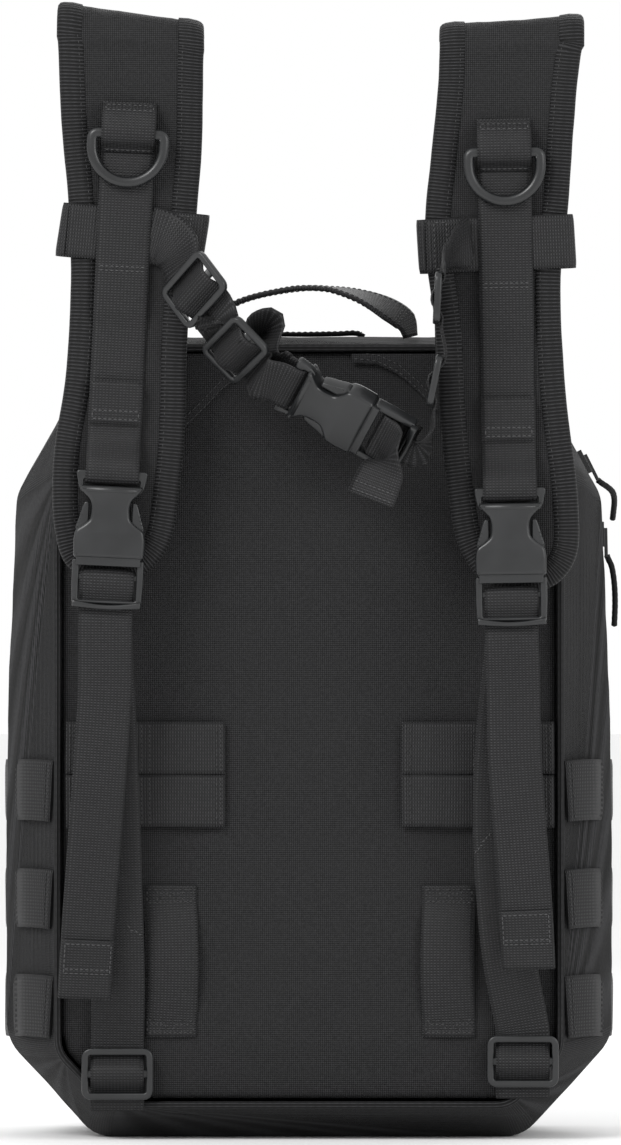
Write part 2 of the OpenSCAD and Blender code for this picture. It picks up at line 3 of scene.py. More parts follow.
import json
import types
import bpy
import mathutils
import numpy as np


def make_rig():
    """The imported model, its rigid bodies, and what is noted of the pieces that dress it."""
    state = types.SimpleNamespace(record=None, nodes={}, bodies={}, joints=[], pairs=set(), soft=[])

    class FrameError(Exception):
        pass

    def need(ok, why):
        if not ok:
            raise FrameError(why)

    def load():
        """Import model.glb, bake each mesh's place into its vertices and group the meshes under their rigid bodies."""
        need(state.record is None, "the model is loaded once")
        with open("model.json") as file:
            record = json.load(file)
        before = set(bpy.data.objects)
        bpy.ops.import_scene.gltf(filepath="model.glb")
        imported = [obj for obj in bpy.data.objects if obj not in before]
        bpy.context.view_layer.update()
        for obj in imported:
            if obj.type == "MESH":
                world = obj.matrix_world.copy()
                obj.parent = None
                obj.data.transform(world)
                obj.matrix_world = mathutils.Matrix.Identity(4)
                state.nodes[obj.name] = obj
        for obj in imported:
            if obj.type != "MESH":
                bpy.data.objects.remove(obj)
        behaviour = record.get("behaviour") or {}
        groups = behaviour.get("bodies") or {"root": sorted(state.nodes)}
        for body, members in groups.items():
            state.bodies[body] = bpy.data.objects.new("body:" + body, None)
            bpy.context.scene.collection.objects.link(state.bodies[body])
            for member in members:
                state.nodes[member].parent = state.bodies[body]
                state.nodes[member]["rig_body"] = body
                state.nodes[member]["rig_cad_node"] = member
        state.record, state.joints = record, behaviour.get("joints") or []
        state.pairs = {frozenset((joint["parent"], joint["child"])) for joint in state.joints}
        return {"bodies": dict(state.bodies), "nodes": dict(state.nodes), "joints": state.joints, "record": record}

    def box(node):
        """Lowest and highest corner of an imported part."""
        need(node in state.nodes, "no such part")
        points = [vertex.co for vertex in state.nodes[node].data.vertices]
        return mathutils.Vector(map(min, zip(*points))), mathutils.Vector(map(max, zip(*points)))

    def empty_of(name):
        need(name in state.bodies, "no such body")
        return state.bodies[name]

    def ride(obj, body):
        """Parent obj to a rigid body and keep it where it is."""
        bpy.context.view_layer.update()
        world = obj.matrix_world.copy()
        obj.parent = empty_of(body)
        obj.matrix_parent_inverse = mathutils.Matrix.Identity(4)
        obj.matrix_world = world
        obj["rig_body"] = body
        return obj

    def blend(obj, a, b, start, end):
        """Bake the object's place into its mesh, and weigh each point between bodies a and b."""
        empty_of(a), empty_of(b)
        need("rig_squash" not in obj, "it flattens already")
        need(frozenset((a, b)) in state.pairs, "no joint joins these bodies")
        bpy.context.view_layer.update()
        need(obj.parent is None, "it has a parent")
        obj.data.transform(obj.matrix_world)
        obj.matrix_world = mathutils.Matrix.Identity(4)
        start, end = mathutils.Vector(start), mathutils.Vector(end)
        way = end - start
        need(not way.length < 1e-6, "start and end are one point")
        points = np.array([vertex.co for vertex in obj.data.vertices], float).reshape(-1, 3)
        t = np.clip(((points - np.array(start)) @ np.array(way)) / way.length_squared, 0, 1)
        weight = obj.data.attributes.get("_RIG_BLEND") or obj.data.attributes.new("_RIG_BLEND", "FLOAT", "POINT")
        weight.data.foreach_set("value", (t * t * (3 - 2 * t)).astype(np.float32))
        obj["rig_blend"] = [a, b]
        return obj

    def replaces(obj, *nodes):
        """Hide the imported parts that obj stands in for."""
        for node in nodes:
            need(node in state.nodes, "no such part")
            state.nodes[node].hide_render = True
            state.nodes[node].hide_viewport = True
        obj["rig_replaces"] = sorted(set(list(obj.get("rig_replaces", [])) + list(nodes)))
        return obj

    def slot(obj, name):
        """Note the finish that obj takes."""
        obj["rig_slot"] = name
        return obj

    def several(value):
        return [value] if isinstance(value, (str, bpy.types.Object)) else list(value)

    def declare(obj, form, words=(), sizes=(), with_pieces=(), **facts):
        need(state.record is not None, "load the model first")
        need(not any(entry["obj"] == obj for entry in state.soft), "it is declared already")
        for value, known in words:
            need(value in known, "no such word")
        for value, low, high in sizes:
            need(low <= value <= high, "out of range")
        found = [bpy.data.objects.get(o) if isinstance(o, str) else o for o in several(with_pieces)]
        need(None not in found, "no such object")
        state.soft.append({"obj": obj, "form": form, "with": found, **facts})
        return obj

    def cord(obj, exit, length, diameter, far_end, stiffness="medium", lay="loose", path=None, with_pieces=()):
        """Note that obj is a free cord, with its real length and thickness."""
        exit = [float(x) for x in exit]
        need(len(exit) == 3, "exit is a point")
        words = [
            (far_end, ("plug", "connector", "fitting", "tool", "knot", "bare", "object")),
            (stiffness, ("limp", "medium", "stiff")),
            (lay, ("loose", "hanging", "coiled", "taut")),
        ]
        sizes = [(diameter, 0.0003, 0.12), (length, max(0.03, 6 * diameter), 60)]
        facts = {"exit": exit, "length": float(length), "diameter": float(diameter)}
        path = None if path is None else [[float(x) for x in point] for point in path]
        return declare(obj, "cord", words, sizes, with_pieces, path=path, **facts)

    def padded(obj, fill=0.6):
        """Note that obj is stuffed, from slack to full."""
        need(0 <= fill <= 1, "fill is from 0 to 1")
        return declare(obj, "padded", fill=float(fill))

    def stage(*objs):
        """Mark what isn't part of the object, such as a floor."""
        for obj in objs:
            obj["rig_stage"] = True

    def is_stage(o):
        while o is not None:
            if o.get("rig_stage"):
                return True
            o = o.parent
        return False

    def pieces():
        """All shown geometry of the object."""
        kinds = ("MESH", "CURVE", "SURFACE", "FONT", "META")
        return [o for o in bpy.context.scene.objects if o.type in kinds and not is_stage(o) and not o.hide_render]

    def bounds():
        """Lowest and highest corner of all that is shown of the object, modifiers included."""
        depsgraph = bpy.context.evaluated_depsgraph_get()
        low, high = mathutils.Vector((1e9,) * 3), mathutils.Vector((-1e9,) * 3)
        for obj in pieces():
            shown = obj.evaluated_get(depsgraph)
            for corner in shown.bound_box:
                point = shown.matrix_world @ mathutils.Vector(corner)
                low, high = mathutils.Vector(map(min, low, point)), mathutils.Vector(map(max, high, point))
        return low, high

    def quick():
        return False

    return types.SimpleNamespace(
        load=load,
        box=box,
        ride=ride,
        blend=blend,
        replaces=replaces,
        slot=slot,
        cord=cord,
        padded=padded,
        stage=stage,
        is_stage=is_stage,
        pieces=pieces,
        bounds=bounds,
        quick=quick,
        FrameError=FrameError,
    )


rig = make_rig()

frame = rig.load()

import json
import math

import bmesh
import bpy
import numpy as np
from mathutils import Matrix, Vector, noise

MM = 0.001
cad_low, cad_high = (list(v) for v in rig.bounds())


# ---------------------------------------------------------------- frame
def node_box(name):
    """Lowest and highest corners of a CAD node, in millimetres."""
    low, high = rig.box(name)
    return Vector(low) / MM, Vector(high) / MM


def face_y(name, side):
    """The Y of a CAD node's face: side -1 is its harness side, +1 its pocket side."""
    return node_box(name)[0 if side < 0 else 1].y


PANEL_Y = face_y("back_panel", -1)
SHELL_Y = node_box("rear_gusset_bottom")[1].y
LID_Y, LID_FRONT_Y = (v.y for v in node_box("lid_gusset"))
FLAP_Y = node_box("flap_gusset")[0].y
FRONT_Y = node_box("flap_panel")[1].y
PAD_FRONT_Y = node_box("shoulder_pad_left")[0].y
WEB_W = 25.4
FLARE_Y = PANEL_Y + 35


# ---------------------------------------------------------------- camera, light and floor
def make_camera():
    """Straight on to the harness side, from far off. The frame is 621 by 1145."""
    distance = 6.0
    view_height = 0.544
    centre = Vector((0.0007, 0, 0.2696))
    data = bpy.data.cameras.new("camera")
    data.sensor_fit = "AUTO"
    data.sensor_width = 36
    data.lens = 36 * distance / view_height
    data.clip_end = 50
    camera = bpy.data.objects.new("camera", data)
    camera.location = centre + Vector((0, PANEL_Y * MM - distance, 0))
    camera.rotation_euler = (math.pi / 2, 0, 0)
    bpy.context.collection.objects.link(camera)
    bpy.context.scene.camera = camera


def area_light(name, place, aim, size, power):
    data = bpy.data.lights.new(name, "AREA")
    data.size = size
    data.energy = power
    light = bpy.data.objects.new(name, data)
    light.location = place
    light.rotation_euler = (Vector(aim) - Vector(place)).to_track_quat("-Z", "Y").to_euler()
    bpy.context.collection.objects.link(light)


def make_studio():
    world = bpy.data.worlds.new("studio")
    bpy.context.scene.world = world
    world.use_nodes = True
    world.node_tree.nodes["Background"].inputs[0].default_value = (1, 1, 1, 1)
    world.node_tree.nodes["Background"].inputs[1].default_value = 1.0
    area_light("key", (-1.1, -1.6, 1.7), (0, 0, 0.25), 0.9, 30)
    area_light("fill", (1.5, -1.3, 0.9), (0, 0, 0.25), 0.8, 9)
    area_light("back", (0.4, 1.6, 1.5), (0, 0, 0.3), 1.2, 7)
    bpy.ops.mesh.primitive_plane_add(size=30, location=(0, 0, 0))
    floor = bpy.context.object
    floor.name = "floor"
    floor.data.materials.append(plain_material("floor_white", (0.9, 0.9, 0.9), 0.7))
    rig.stage(floor)
    bpy.context.scene.view_settings.view_transform = "Standard"


# ---------------------------------------------------------------- materials
def plain_material(name, colour, roughness):
    material = bpy.data.materials.new(name)
    material.use_nodes = True
    shader = material.node_tree.nodes["Principled BSDF"]
    shader.inputs["Base Color"].default_value = (*colour, 1)
    shader.inputs["Roughness"].default_value = roughness
    return material


class Nodes:
    """A short way to wire one material's nodes."""

    def __init__(self, name):
        self.material = bpy.data.materials.new(name)
        self.material.use_nodes = True
        self.tree = self.material.node_tree
        self.shader = self.tree.nodes["Principled BSDF"]

    def add(self, kind, inputs=(), **settings):
        node = self.tree.nodes.new(kind)
        for key, value in settings.items():
            setattr(node, key, value)
        for key, value in dict(inputs).items():
            self.plug(value, node.inputs[key])
        return node

    def plug(self, value, socket):
        if isinstance(value, bpy.types.NodeSocket):
            self.tree.links.new(value, socket)
        else:
            socket.default_value = value

    def math(self, operation, a, b=0.0):
        return self.add("ShaderNodeMath", {0: a, 1: b}, operation=operation).outputs[0]

    def mix(self, factor, a, b):
        node = self.add("ShaderNodeMix", data_type="RGBA")
        self.plug(factor, node.inputs[0])
        self.plug((*a, 1) if isinstance(a, tuple) else a, node.inputs[6])
        self.plug((*b, 1) if isinstance(b, tuple) else b, node.inputs[7])
        return node.outputs[2]

    def wave(self, along, pitch, phase=0.0):
        """A sine from -1 to 1 with the given pitch in metres."""
        turns = self.math("MULTIPLY", along, 2 * math.pi / pitch)
        return self.math("SINE", self.math("ADD", turns, phase))

    def noise(self, vector, scale, detail=3.0):
        node = self.add("ShaderNodeTexNoise", {"Vector": vector, "Scale": scale, "Detail": detail})
        return node.outputs["Fac"]

    def ramp(self, value, low, high):
        """Value from 0 at low to 1 at high."""
        node = self.add("ShaderNodeMapRange", {0: value, 1: low, 2: high})
        return node.outputs[0]


def weave_material(name, pitch, angle, dark, light, depth, roughness, sheen, fuzz=0.35, ribbed=0.0):
    """Woven cloth: threads cross at the two pitches, turned by angle in the cloth's own UV plane, in metres. Dark is
    painted shade in the gaps between threads, light a painted highlight on the thread crests.
    """
    n = Nodes(name)
    uv = n.add("ShaderNodeUVMap", uv_map="cloth").outputs[0]
    turned = n.add("ShaderNodeMapping", {"Vector": uv, "Rotation": (0, 0, angle)}).outputs[0]
    split = n.add("ShaderNodeSeparateXYZ", {0: turned})
    across = n.wave(split.outputs[0], pitch[0])
    along = n.wave(split.outputs[1], pitch[1])
    crossing = n.math("MULTIPLY", across, along)
    ribs = n.math("ADD", n.math("MULTIPLY", crossing, 1 - ribbed), n.math("MULTIPLY", along, ribbed))
    place = n.add("ShaderNodeTexCoord").outputs["Object"]
    fine = n.noise(place, 700.0)
    broad = n.noise(place, 14.0)
    height = n.math("ADD", n.math("MULTIPLY", ribs, 0.5), n.math("MULTIPLY", fine, fuzz))
    # Painted highlight and painted shade: thread height sets the mix, so the crests are painted light and the gaps
    # dark.
    thread = n.ramp(height, 0.0, 0.62)
    lit = n.math("POWER", thread, 1.6)
    # Broad noise makes part of the painted thread highlight patchy.
    patchy_highlight = n.math("MULTIPLY", lit, n.ramp(broad, 0.15, 0.75))
    n.plug(n.mix(n.math("ADD", n.math("MULTIPLY", lit, 0.55), n.math("MULTIPLY", patchy_highlight, 0.45)), dark, light),
           n.shader.inputs["Base Color"])
    low, high = roughness
    rough = n.add("ShaderNodeMapRange", {0: broad, 1: 0.3, 2: 0.7, 3: low, 4: high}).outputs[0]
    n.plug(rough, n.shader.inputs["Roughness"])
    bump = n.add("ShaderNodeBump", {"Strength": 0.9, "Distance": depth, "Height": height})
    n.plug(bump.outputs[0], n.shader.inputs["Normal"])
    n.shader.inputs["Sheen Weight"].default_value = sheen
    n.shader.inputs["Specular IOR Level"].default_value = 0.22
    n.shader.inputs["Sheen Roughness"].default_value = 0.45
    return n.material


def plastic_material(name, colour, roughness):
    """Moulded plastic: a fine matt grain, softly worn where the surface is broad."""
    n = Nodes(name)
    place = n.add("ShaderNodeTexCoord").outputs["Object"]
    grain = n.noise(place, 1800.0, 2.0)
    smear = n.noise(place, 60.0)
    pale = tuple(min(1.0, c * 1.7) for c in colour)
    n.plug(n.mix(n.ramp(smear, 0.35, 0.75), colour, pale), n.shader.inputs["Base Color"])
    low, high = roughness
    n.plug(n.add("ShaderNodeMapRange", {0: smear, 1: 0.3, 2: 0.7, 3: low, 4: high}).outputs[0],
           n.shader.inputs["Roughness"])
    bump = n.add("ShaderNodeBump", {"Strength": 0.35, "Distance": 0.00006, "Height": grain})
    n.plug(bump.outputs[0], n.shader.inputs["Normal"])
    return n.material


def thread_material(name, colour):
    """Bonded sewing thread: a tight twist along the stitch."""
    n = Nodes(name)
    place = n.add("ShaderNodeTexCoord").outputs["Object"]
    twist = n.noise(place, 2600.0, 1.0)
    pale = tuple(min(1.0, c * 1.5) for c in colour)
    n.plug(n.mix(twist, colour, pale), n.shader.inputs["Base Color"])
    n.shader.inputs["Roughness"].default_value = 0.5
    return n.material


quarter = math.pi / 4
# In each weave below, the dark colour is painted shade between the threads and the light colour a painted highlight on
# the thread crests.
M = {
    "cordura": weave_material(
        "cordura", (0.0013, 0.0013), quarter, (0.0030, 0.0030, 0.0032), (0.034, 0.034, 0.036), 0.00026,
        (0.62, 0.8), 0.02, 0.55
    ),
    "panel": weave_material(
        "panel", (0.0013, 0.0013), quarter, (0.0030, 0.0030, 0.0032), (0.032, 0.032, 0.0335), 0.00028,
        (0.62, 0.8), 0.02, 0.55
    ),
    "binding": weave_material(
        "binding", (0.0040, 0.0017), 0.0, (0.0012, 0.0012, 0.0013), (0.034, 0.034, 0.036), 0.00028,
        (0.6, 0.75), 0.02, 0.3, 0.85
    ),
    "webbing": weave_material(
        "webbing", (0.0016, 0.0013), 0.0, (0.0060, 0.0060, 0.0064), (0.044, 0.044, 0.046), 0.00028,
        (0.42, 0.6), 0.03, 0.35, 0.45
    ),
    "band": weave_material(
        "band", (0.0030, 0.0012), 0.0, (0.0012, 0.0012, 0.0013), (0.014, 0.014, 0.015), 0.00014, (0.55, 0.7),
        0.015, 0.3, 0.7
    ),
    "lining": weave_material(
        "lining", (0.0011, 0.0011), 0.0, (0.020, 0.0205, 0.021), (0.065, 0.066, 0.068), 0.00010, (0.6, 0.8),
        0.05
    ),
    "pile": weave_material(
        "pile", (0.0024, 0.0024), quarter, (0.0016, 0.0016, 0.0018), (0.02, 0.02, 0.021), 0.0006,
        (0.85, 0.95), 0.08, 0.9
    ),
    "plastic": plastic_material("moulded_plastic", (0.0075, 0.0080, 0.0086), (0.28, 0.40)),
    "slider": plastic_material("black_enamel", (0.005, 0.005, 0.0055), (0.2, 0.35)),
    "coil": plastic_material("zip_coil", (0.006, 0.006, 0.0065), (0.35, 0.5)),
    "sheet": plastic_material("frame_sheet", (0.03, 0.03, 0.032), (0.5, 0.6)),
    "thread": thread_material("thread", (0.014, 0.014, 0.0145)),
    "thread_pale": thread_material("thread_pale", (0.034, 0.034, 0.035)),
    "cord": weave_material(
        "cord", (0.0016, 0.0016), quarter, (0.003, 0.003, 0.0033), (0.016, 0.016, 0.017), 0.0003, (0.6, 0.7),
        0.03
    ),
}
SLOTS = {
    "cordura": "cordura", "panel": "cordura", "binding": "binding", "webbing": "webbing", "band": "cordura",
    "lining": "lining", "pile": "loop_field", "plastic": "acetal", "slider": "slider", "coil": "zip",
    "sheet": "frame_sheet", "thread": "binding", "thread_pale": "binding", "cord": "cord",
}


# ---------------------------------------------------------------- mesh helpers
def finish_piece(obj, material, body=None, replaces=()):
    """Material, slot, body and the CAD nodes that a finished piece stands for."""
    obj.data.materials.clear()
    obj.data.materials.append(M[material])
    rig.slot(obj, SLOTS[material])
    if body:
        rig.ride(obj, body)
    if replaces:
        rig.replaces(obj, *replaces)
    return obj


def new_object(name, points, faces, smooth=True):
    """A mesh object from points in millimetres."""
    data = bpy.data.meshes.new(name)
    data.from_pydata([tuple(c * MM for c in p) for p in points], [], faces)
    data.update()
    if smooth:
        data.polygons.foreach_set("use_smooth", [True] * len(data.polygons))
    obj = bpy.data.objects.new(name, data)
    bpy.context.collection.objects.link(obj)
    return obj


def set_uv(obj, corner_uv):
    layer = obj.data.uv_layers.new(name="cloth")
    layer.data.foreach_set("uv", np.asarray(corner_uv, dtype=np.float32).ravel())


def cloth_uv(obj):
    """Lays the weave flat on each face by the axis it faces most, in metres."""
    mesh = obj.data
    co = np.empty(len(mesh.vertices) * 3)
    mesh.vertices.foreach_get("co", co)
    co = co.reshape(-1, 3)
    uv = np.zeros((len(mesh.loops), 2))
    planes = {0: (1, 2), 1: (0, 2), 2: (0, 1)}
    for face in mesh.polygons:
        axis = int(np.argmax(np.abs(face.normal)))
        a, b = planes[axis]
        for loop in face.loop_indices:
            v = mesh.loops[loop].vertex_index
            uv[loop] = (co[v][a], co[v][b])
    set_uv(obj, uv)


def spline(points, step, closed=False):
    """Even points along a Catmull-Rom curve through the given ones, about step apart."""
    p = [Vector(q) for q in points]
    n = len(p)
    dense = []
    spans = n if closed else n - 1
    for i in range(spans):
        if closed:
            a, b, c, d = p[(i - 1) % n], p[i], p[(i + 1) % n], p[(i + 2) % n]
        else:
            b, c = p[i], p[i + 1]
            a = p[i - 1] if i else b * 2 - c
            d = p[i + 2] if i + 2 < n else c * 2 - b
        k1 = math.sqrt(max((b - a).length, 1e-6))
        k2 = math.sqrt(max((c - b).length, 1e-6))
        k3 = math.sqrt(max((d - c).length, 1e-6))
        m1 = (c - b) + ((b - a) / k1 - (c - a) / (k1 + k2)) * k2
        m2 = (c - b) + ((d - c) / k3 - (d - b) / (k2 + k3)) * k2
        count = max(2, int((c - b).length / step * 3))
        for j in range(count):
            t = j / count
            dense.append(b * (2 * t**3 - 3 * t**2 + 1) + m1 * (t**3 - 2 * t**2 + t)
                         + c * (-2 * t**3 + 3 * t**2) + m2 * (t**3 - t**2))
    dense.append(p[0].copy() if closed else p[-1].copy())
    return even(dense, step, closed)


def even(points, step, closed=False):
    """Points at an even distance along a polyline. A closed one repeats its first point at the end."""
    p = np.array([tuple(q) for q in points])
    s = np.concatenate([[0], np.cumsum(np.linalg.norm(np.diff(p, axis=0), axis=1))])
    count = max(2, int(round(s[-1] / step)) + 1)
    at = np.linspace(0, s[-1], count)
    out = [Vector([np.interp(a, s, p[:, k]) for k in range(p.shape[1])]) for a in at]
    return out[:-1] if closed else out


def fuzz(place, scale, seed=0.0):
    """Smooth noise from -1 to 1 at a place in millimetres, with features about scale wide."""
    q = Vector(place) / scale
    return noise.noise(Vector((q.x + seed * 7.3, q.y - seed * 3.1, q.z + seed)))


class Web:
    """A strip of webbing along a path, with rounded edges. Lengths in millimetres."""

    def __init__(self, name, path, across, body=None, replaces=(), w=WEB_W, t=1.5, material="webbing", step=2.0,
                 widths=None, wave=0.25, columns=10, straight=False, bow=0.0):
        joined = [
            Vector((*p, *a)) if len(p) == 3 else Vector(p) for p,
            a in zip([tuple(q) for q in path], [tuple(a) for a in across])
        ]
        if widths:
            joined = [Vector((*j, k)) for j, k in zip(joined, widths)]
        rows = even(joined, step) if straight else self.smooth(joined, step)
        self.centre = [Vector(r[:3]) for r in rows]
        n = len(rows)
        self.along = [(self.centre[min(i + 1, n - 1)] - self.centre[max(i - 1, 0)]).normalized() for i in range(n)]
        self.across, self.up, self.half = [], [], []
        for i, r in enumerate(rows):
            u = Vector(r[3:6])
            u = (u - self.along[i] * u.dot(self.along[i])).normalized()
            self.across.append(u)
            self.up.append(self.along[i].cross(u))
            self.half.append((r[6] if widths else w) / 2)
        self.t = t
        points, uv = [], []
        self.s = [0.0]
        for i in range(1, n):
            self.s.append(self.s[-1] + (self.centre[i] - self.centre[i - 1]).length)
        side = [2 * k / columns - 1 for k in range(columns + 1)]
        self.wave, self.bow = wave, bow
        for i in range(n):
            for sign in (1, -1):
                for k in (side if sign > 0 else side[::-1]):
                    points.append(self.place(i, k, sign))
                    uv.append((k * self.half[i] * MM, self.s[i] * MM))
        ring = 2 * (columns + 1)
        faces = []
        for i in range(n - 1):
            for k in range(ring):
                a, b = i * ring + k, i * ring + (k + 1) % ring
                faces.append((a, b, b + ring, a + ring))
        faces.append(tuple(range(ring))[::-1])
        faces.append(tuple((n - 1) * ring + k for k in range(ring)))
        self.obj = new_object(name, points, faces)
        set_uv(self.obj, [uv[self.obj.data.loops[j].vertex_index] for j in range(len(self.obj.data.loops))])
        for face in self.obj.data.polygons[-2:]:
            face.use_smooth = False
        finish_piece(self.obj, material, body, replaces)

    @staticmethod
    def smooth(joined, step):
        """A spline whose spacing is judged by the first three numbers."""
        places = [Vector(j[:3]) for j in joined]
        rest = [list(j[3:]) for j in joined]
        base = spline(places, step)
        s_base = np.concatenate([[0], np.cumsum([(b - a).length for a, b in zip(base, base[1:])])])
        marks = []
        for q in places:
            marks.append(s_base[int(np.argmin([(b - q).length for b in base]))])
        marks = np.maximum.accumulate(marks)
        out = []
        for b, s in zip(base, s_base):
            out.append(Vector((*b, *[np.interp(s, marks, [r[k] for r in rest]) for k in range(len(rest[0]))])))
        return out

    def place(self, i, k, sign):
        """The surface point at row i, k from -1 to 1 across, on the upper or lower face."""
        edge = 1 - 0.5 * abs(k) ** 8
        swell = self.wave * fuzz(self.centre[i] + self.across[i] * k * 9, 17.0, 1.0) * 0.8
        lift = self.bow * (1 - k * k)
        return self.centre[i] + self.across[i] * (k * self.half[i]) + self.up[i] * (sign * self.t / 2 * edge + swell + lift)

    def row(self, s):
        """The row nearest to s millimetres along, counted from the end if s is negative."""
        s = s if s >= 0 else self.s[-1] + s
        return int(np.argmin(np.abs(np.array(self.s) - s)))

    def line(self, s0, k0, s1, k1, sign=1):
        """Points with normals for a line of stitches between two places on the strip."""
        out = []
        steps = max(2, int(max(abs(s1 - s0), abs(k1 - k0) * self.half[0]) / 1.0))
        for j in range(steps + 1):
            f = j / steps
            s, k = s0 + (s1 - s0) * f, k0 + (k1 - k0) * f
            i = self.row(s)
            out.append((self.place(i, k, sign), self.up[i] * sign))
        return out

    def box(self, s0, s1, inset=0.84, sign=1, cross=False):
        """The lines of a box of stitches, with its diagonals if cross."""
        lines = [self.line(s0, -inset, s0, inset, sign), self.line(s1, -inset, s1, inset, sign),
                 self.line(s0, -inset, s1, -inset, sign), self.line(s0, inset, s1, inset, sign)]
        if cross:
            lines += [self.line(s0, -inset, s1, inset, sign), self.line(s0, inset, s1, -inset, sign)]
        return lines


def sew(name, lines, body, material="thread", pitch=2.8, radius=0.3, length=None):
    """Real stitches along lines of (point, normal), all in one piece."""
    length = length or pitch * 0.78
    points, faces = [], []
    sides, rings = 5, (-1.0, -0.55, 0.0, 0.55, 1.0)
    swell = (0.25, 0.85, 1.0, 0.85, 0.25)
    drop = (0.55, 0.1, 0.0, 0.1, 0.55)
    for line in lines:
        p = np.array([tuple(q[0]) for q in line])
        m = np.array([tuple(q[1]) for q in line])
        s = np.concatenate([[0], np.cumsum(np.linalg.norm(np.diff(p, axis=0), axis=1))])
        count = int(s[-1] / pitch)
        for j in range(count):
            mid = (j + 0.5) * s[-1] / max(count, 1)
            at = lambda d: Vector([np.interp(mid + d, s, p[:, k]) for k in range(3)])
            normal = Vector([np.interp(mid, s, m[:, k]) for k in range(3)]).normalized()
            direction = at(0.3) - at(-0.3)
            if direction.length < 1e-6:
                continue
            direction.normalize()
            side = normal.cross(direction).normalized()
            centre = at(0) + normal * radius * 0.45
            base = len(points)
            for x, r, d in zip(rings, swell, drop):
                for k in range(sides):
                    a = 2 * math.pi * k / sides
                    points.append(centre + direction * (x * length / 2) - normal * d * radius
                                  + (side * math.cos(a) * 1.15 + normal * math.sin(a) * 0.9) * radius * r)
            for i in range(len(rings) - 1):
                for k in range(sides):
                    a, b = base + i * sides + k, base + i * sides + (k + 1) % sides
                    faces.append((a, b, b + sides, a + sides))
            faces.append(tuple(base + k for k in range(sides))[::-1])
            faces.append(tuple(base + (len(rings) - 1) * sides + k for k in range(sides)))
    if not points:
        return None
    obj = new_object(name, points, faces)
    return finish_piece(obj, material, body)


# ---------------------------------------------------------------- reading the CAD
def world_mesh(node):
    """A welded bmesh of a CAD node, in millimetres in the row frame."""
    source = frame["nodes"][node]
    bm = bmesh.new()
    bm.from_mesh(source.data)
    bm.transform(Matrix.Scale(1 / MM, 4) @ source.matrix_world)
    bmesh.ops.remove_doubles(bm, verts=bm.verts, dist=0.01)
    return bm


def loops_at(node, y, tolerance=0.05):
    """The outlines of the flat face that a CAD node has at this Y, longest first, anticlockwise as [x, z]."""
    bm = world_mesh(node)
    flat = lambda f: all(abs(v.co.y - y) < tolerance for v in f.verts)
    links = {}
    for edge in bm.edges:
        if all(abs(v.co.y - y) < tolerance for v in edge.verts) and sum(flat(f) for f in edge.link_faces) == 1:
            a, b = (v.index for v in edge.verts)
            links.setdefault(a, []).append(b)
            links.setdefault(b, []).append(a)
    bm.verts.ensure_lookup_table()
    found, seen = [], set()
    for start in sorted(links):
        if start in seen:
            continue
        loop, here, last = [], start, None
        while here is not None and here not in seen:
            seen.add(here)
            loop.append((bm.verts[here].co.x, bm.verts[here].co.z))
            ahead = [k for k in links[here] if k != last and k not in seen]
            last, here = here, (ahead[0] if ahead else None)
        found.append(tidy_loop(loop))
    bm.free()
    return sorted(found, key=lambda q: -area(q))


def area(loop):
    """Area of an outline, whichever way it runs."""
    return abs(sum(a[0] * b[1] - b[0] * a[1] for a, b in zip(loop, loop[1:] + loop[:1]))) / 2


def tidy_loop(loop):
    """Leaves out points on straight runs, turns the loop anticlockwise."""
    n = len(loop)
    kept = []
    for i in range(n):
        a, b, c = (Vector(loop[(i + k) % n]) for k in (-1, 0, 1))
        u, v = b - a, c - b
        if u.length > 1e-6 and v.length > 1e-6 and abs(u.normalized().cross(v.normalized())) > 0.004:
            kept.append(tuple(b))
    turn = sum(a[0] * b[1] - b[0] * a[1] for a, b in zip(kept, kept[1:] + kept[:1]))
    return kept if turn > 0 else kept[::-1]


def start_at(loop, x, z):
    """The same loop, started at its point nearest to x, z."""
    i = min(range(len(loop)), key=lambda k: (loop[k][0] - x) ** 2 + (loop[k][1] - z) ** 2)
    return loop[i:] + loop[:i]


def offset_loop(loop, distance):
    """The loop moved outwards by a distance. The loop runs anticlockwise."""
    out = []
    n = len(loop)
    for i in range(n):
        a, b, c = (Vector(loop[(i + k) % n]) for k in (-1, 0, 1))
        d = ((b - a).normalized() + (c - b).normalized()).normalized()
        normal = Vector((d.y, -d.x))
        shrink = max(0.5, normal.dot(Vector(((b - a).normalized().y, -(b - a).normalized().x))))
        out.append(tuple(b + normal * distance / shrink))
    return out


# ---------------------------------------------------------------- soft, filled pieces
def remesh(obj, size):
    modifier = obj.modifiers.new("voxel", "REMESH")
    modifier.mode = "VOXEL"
    modifier.voxel_size = size * MM
    modifier.use_smooth_shade = True
    apply_modifiers(obj)


def apply_modifiers(obj):
    graph = bpy.context.evaluated_depsgraph_get()
    graph.update()
    data = bpy.data.meshes.new_from_object(obj.evaluated_get(graph))
    obj.modifiers.clear()
    obj.data = data


def read_points(obj):
    co = np.empty(len(obj.data.vertices) * 3)
    obj.data.vertices.foreach_get("co", co)
    return co.reshape(-1, 3) / MM


def write_points(obj, points):
    obj.data.vertices.foreach_set("co", (points * MM).ravel())
    obj.data.update()


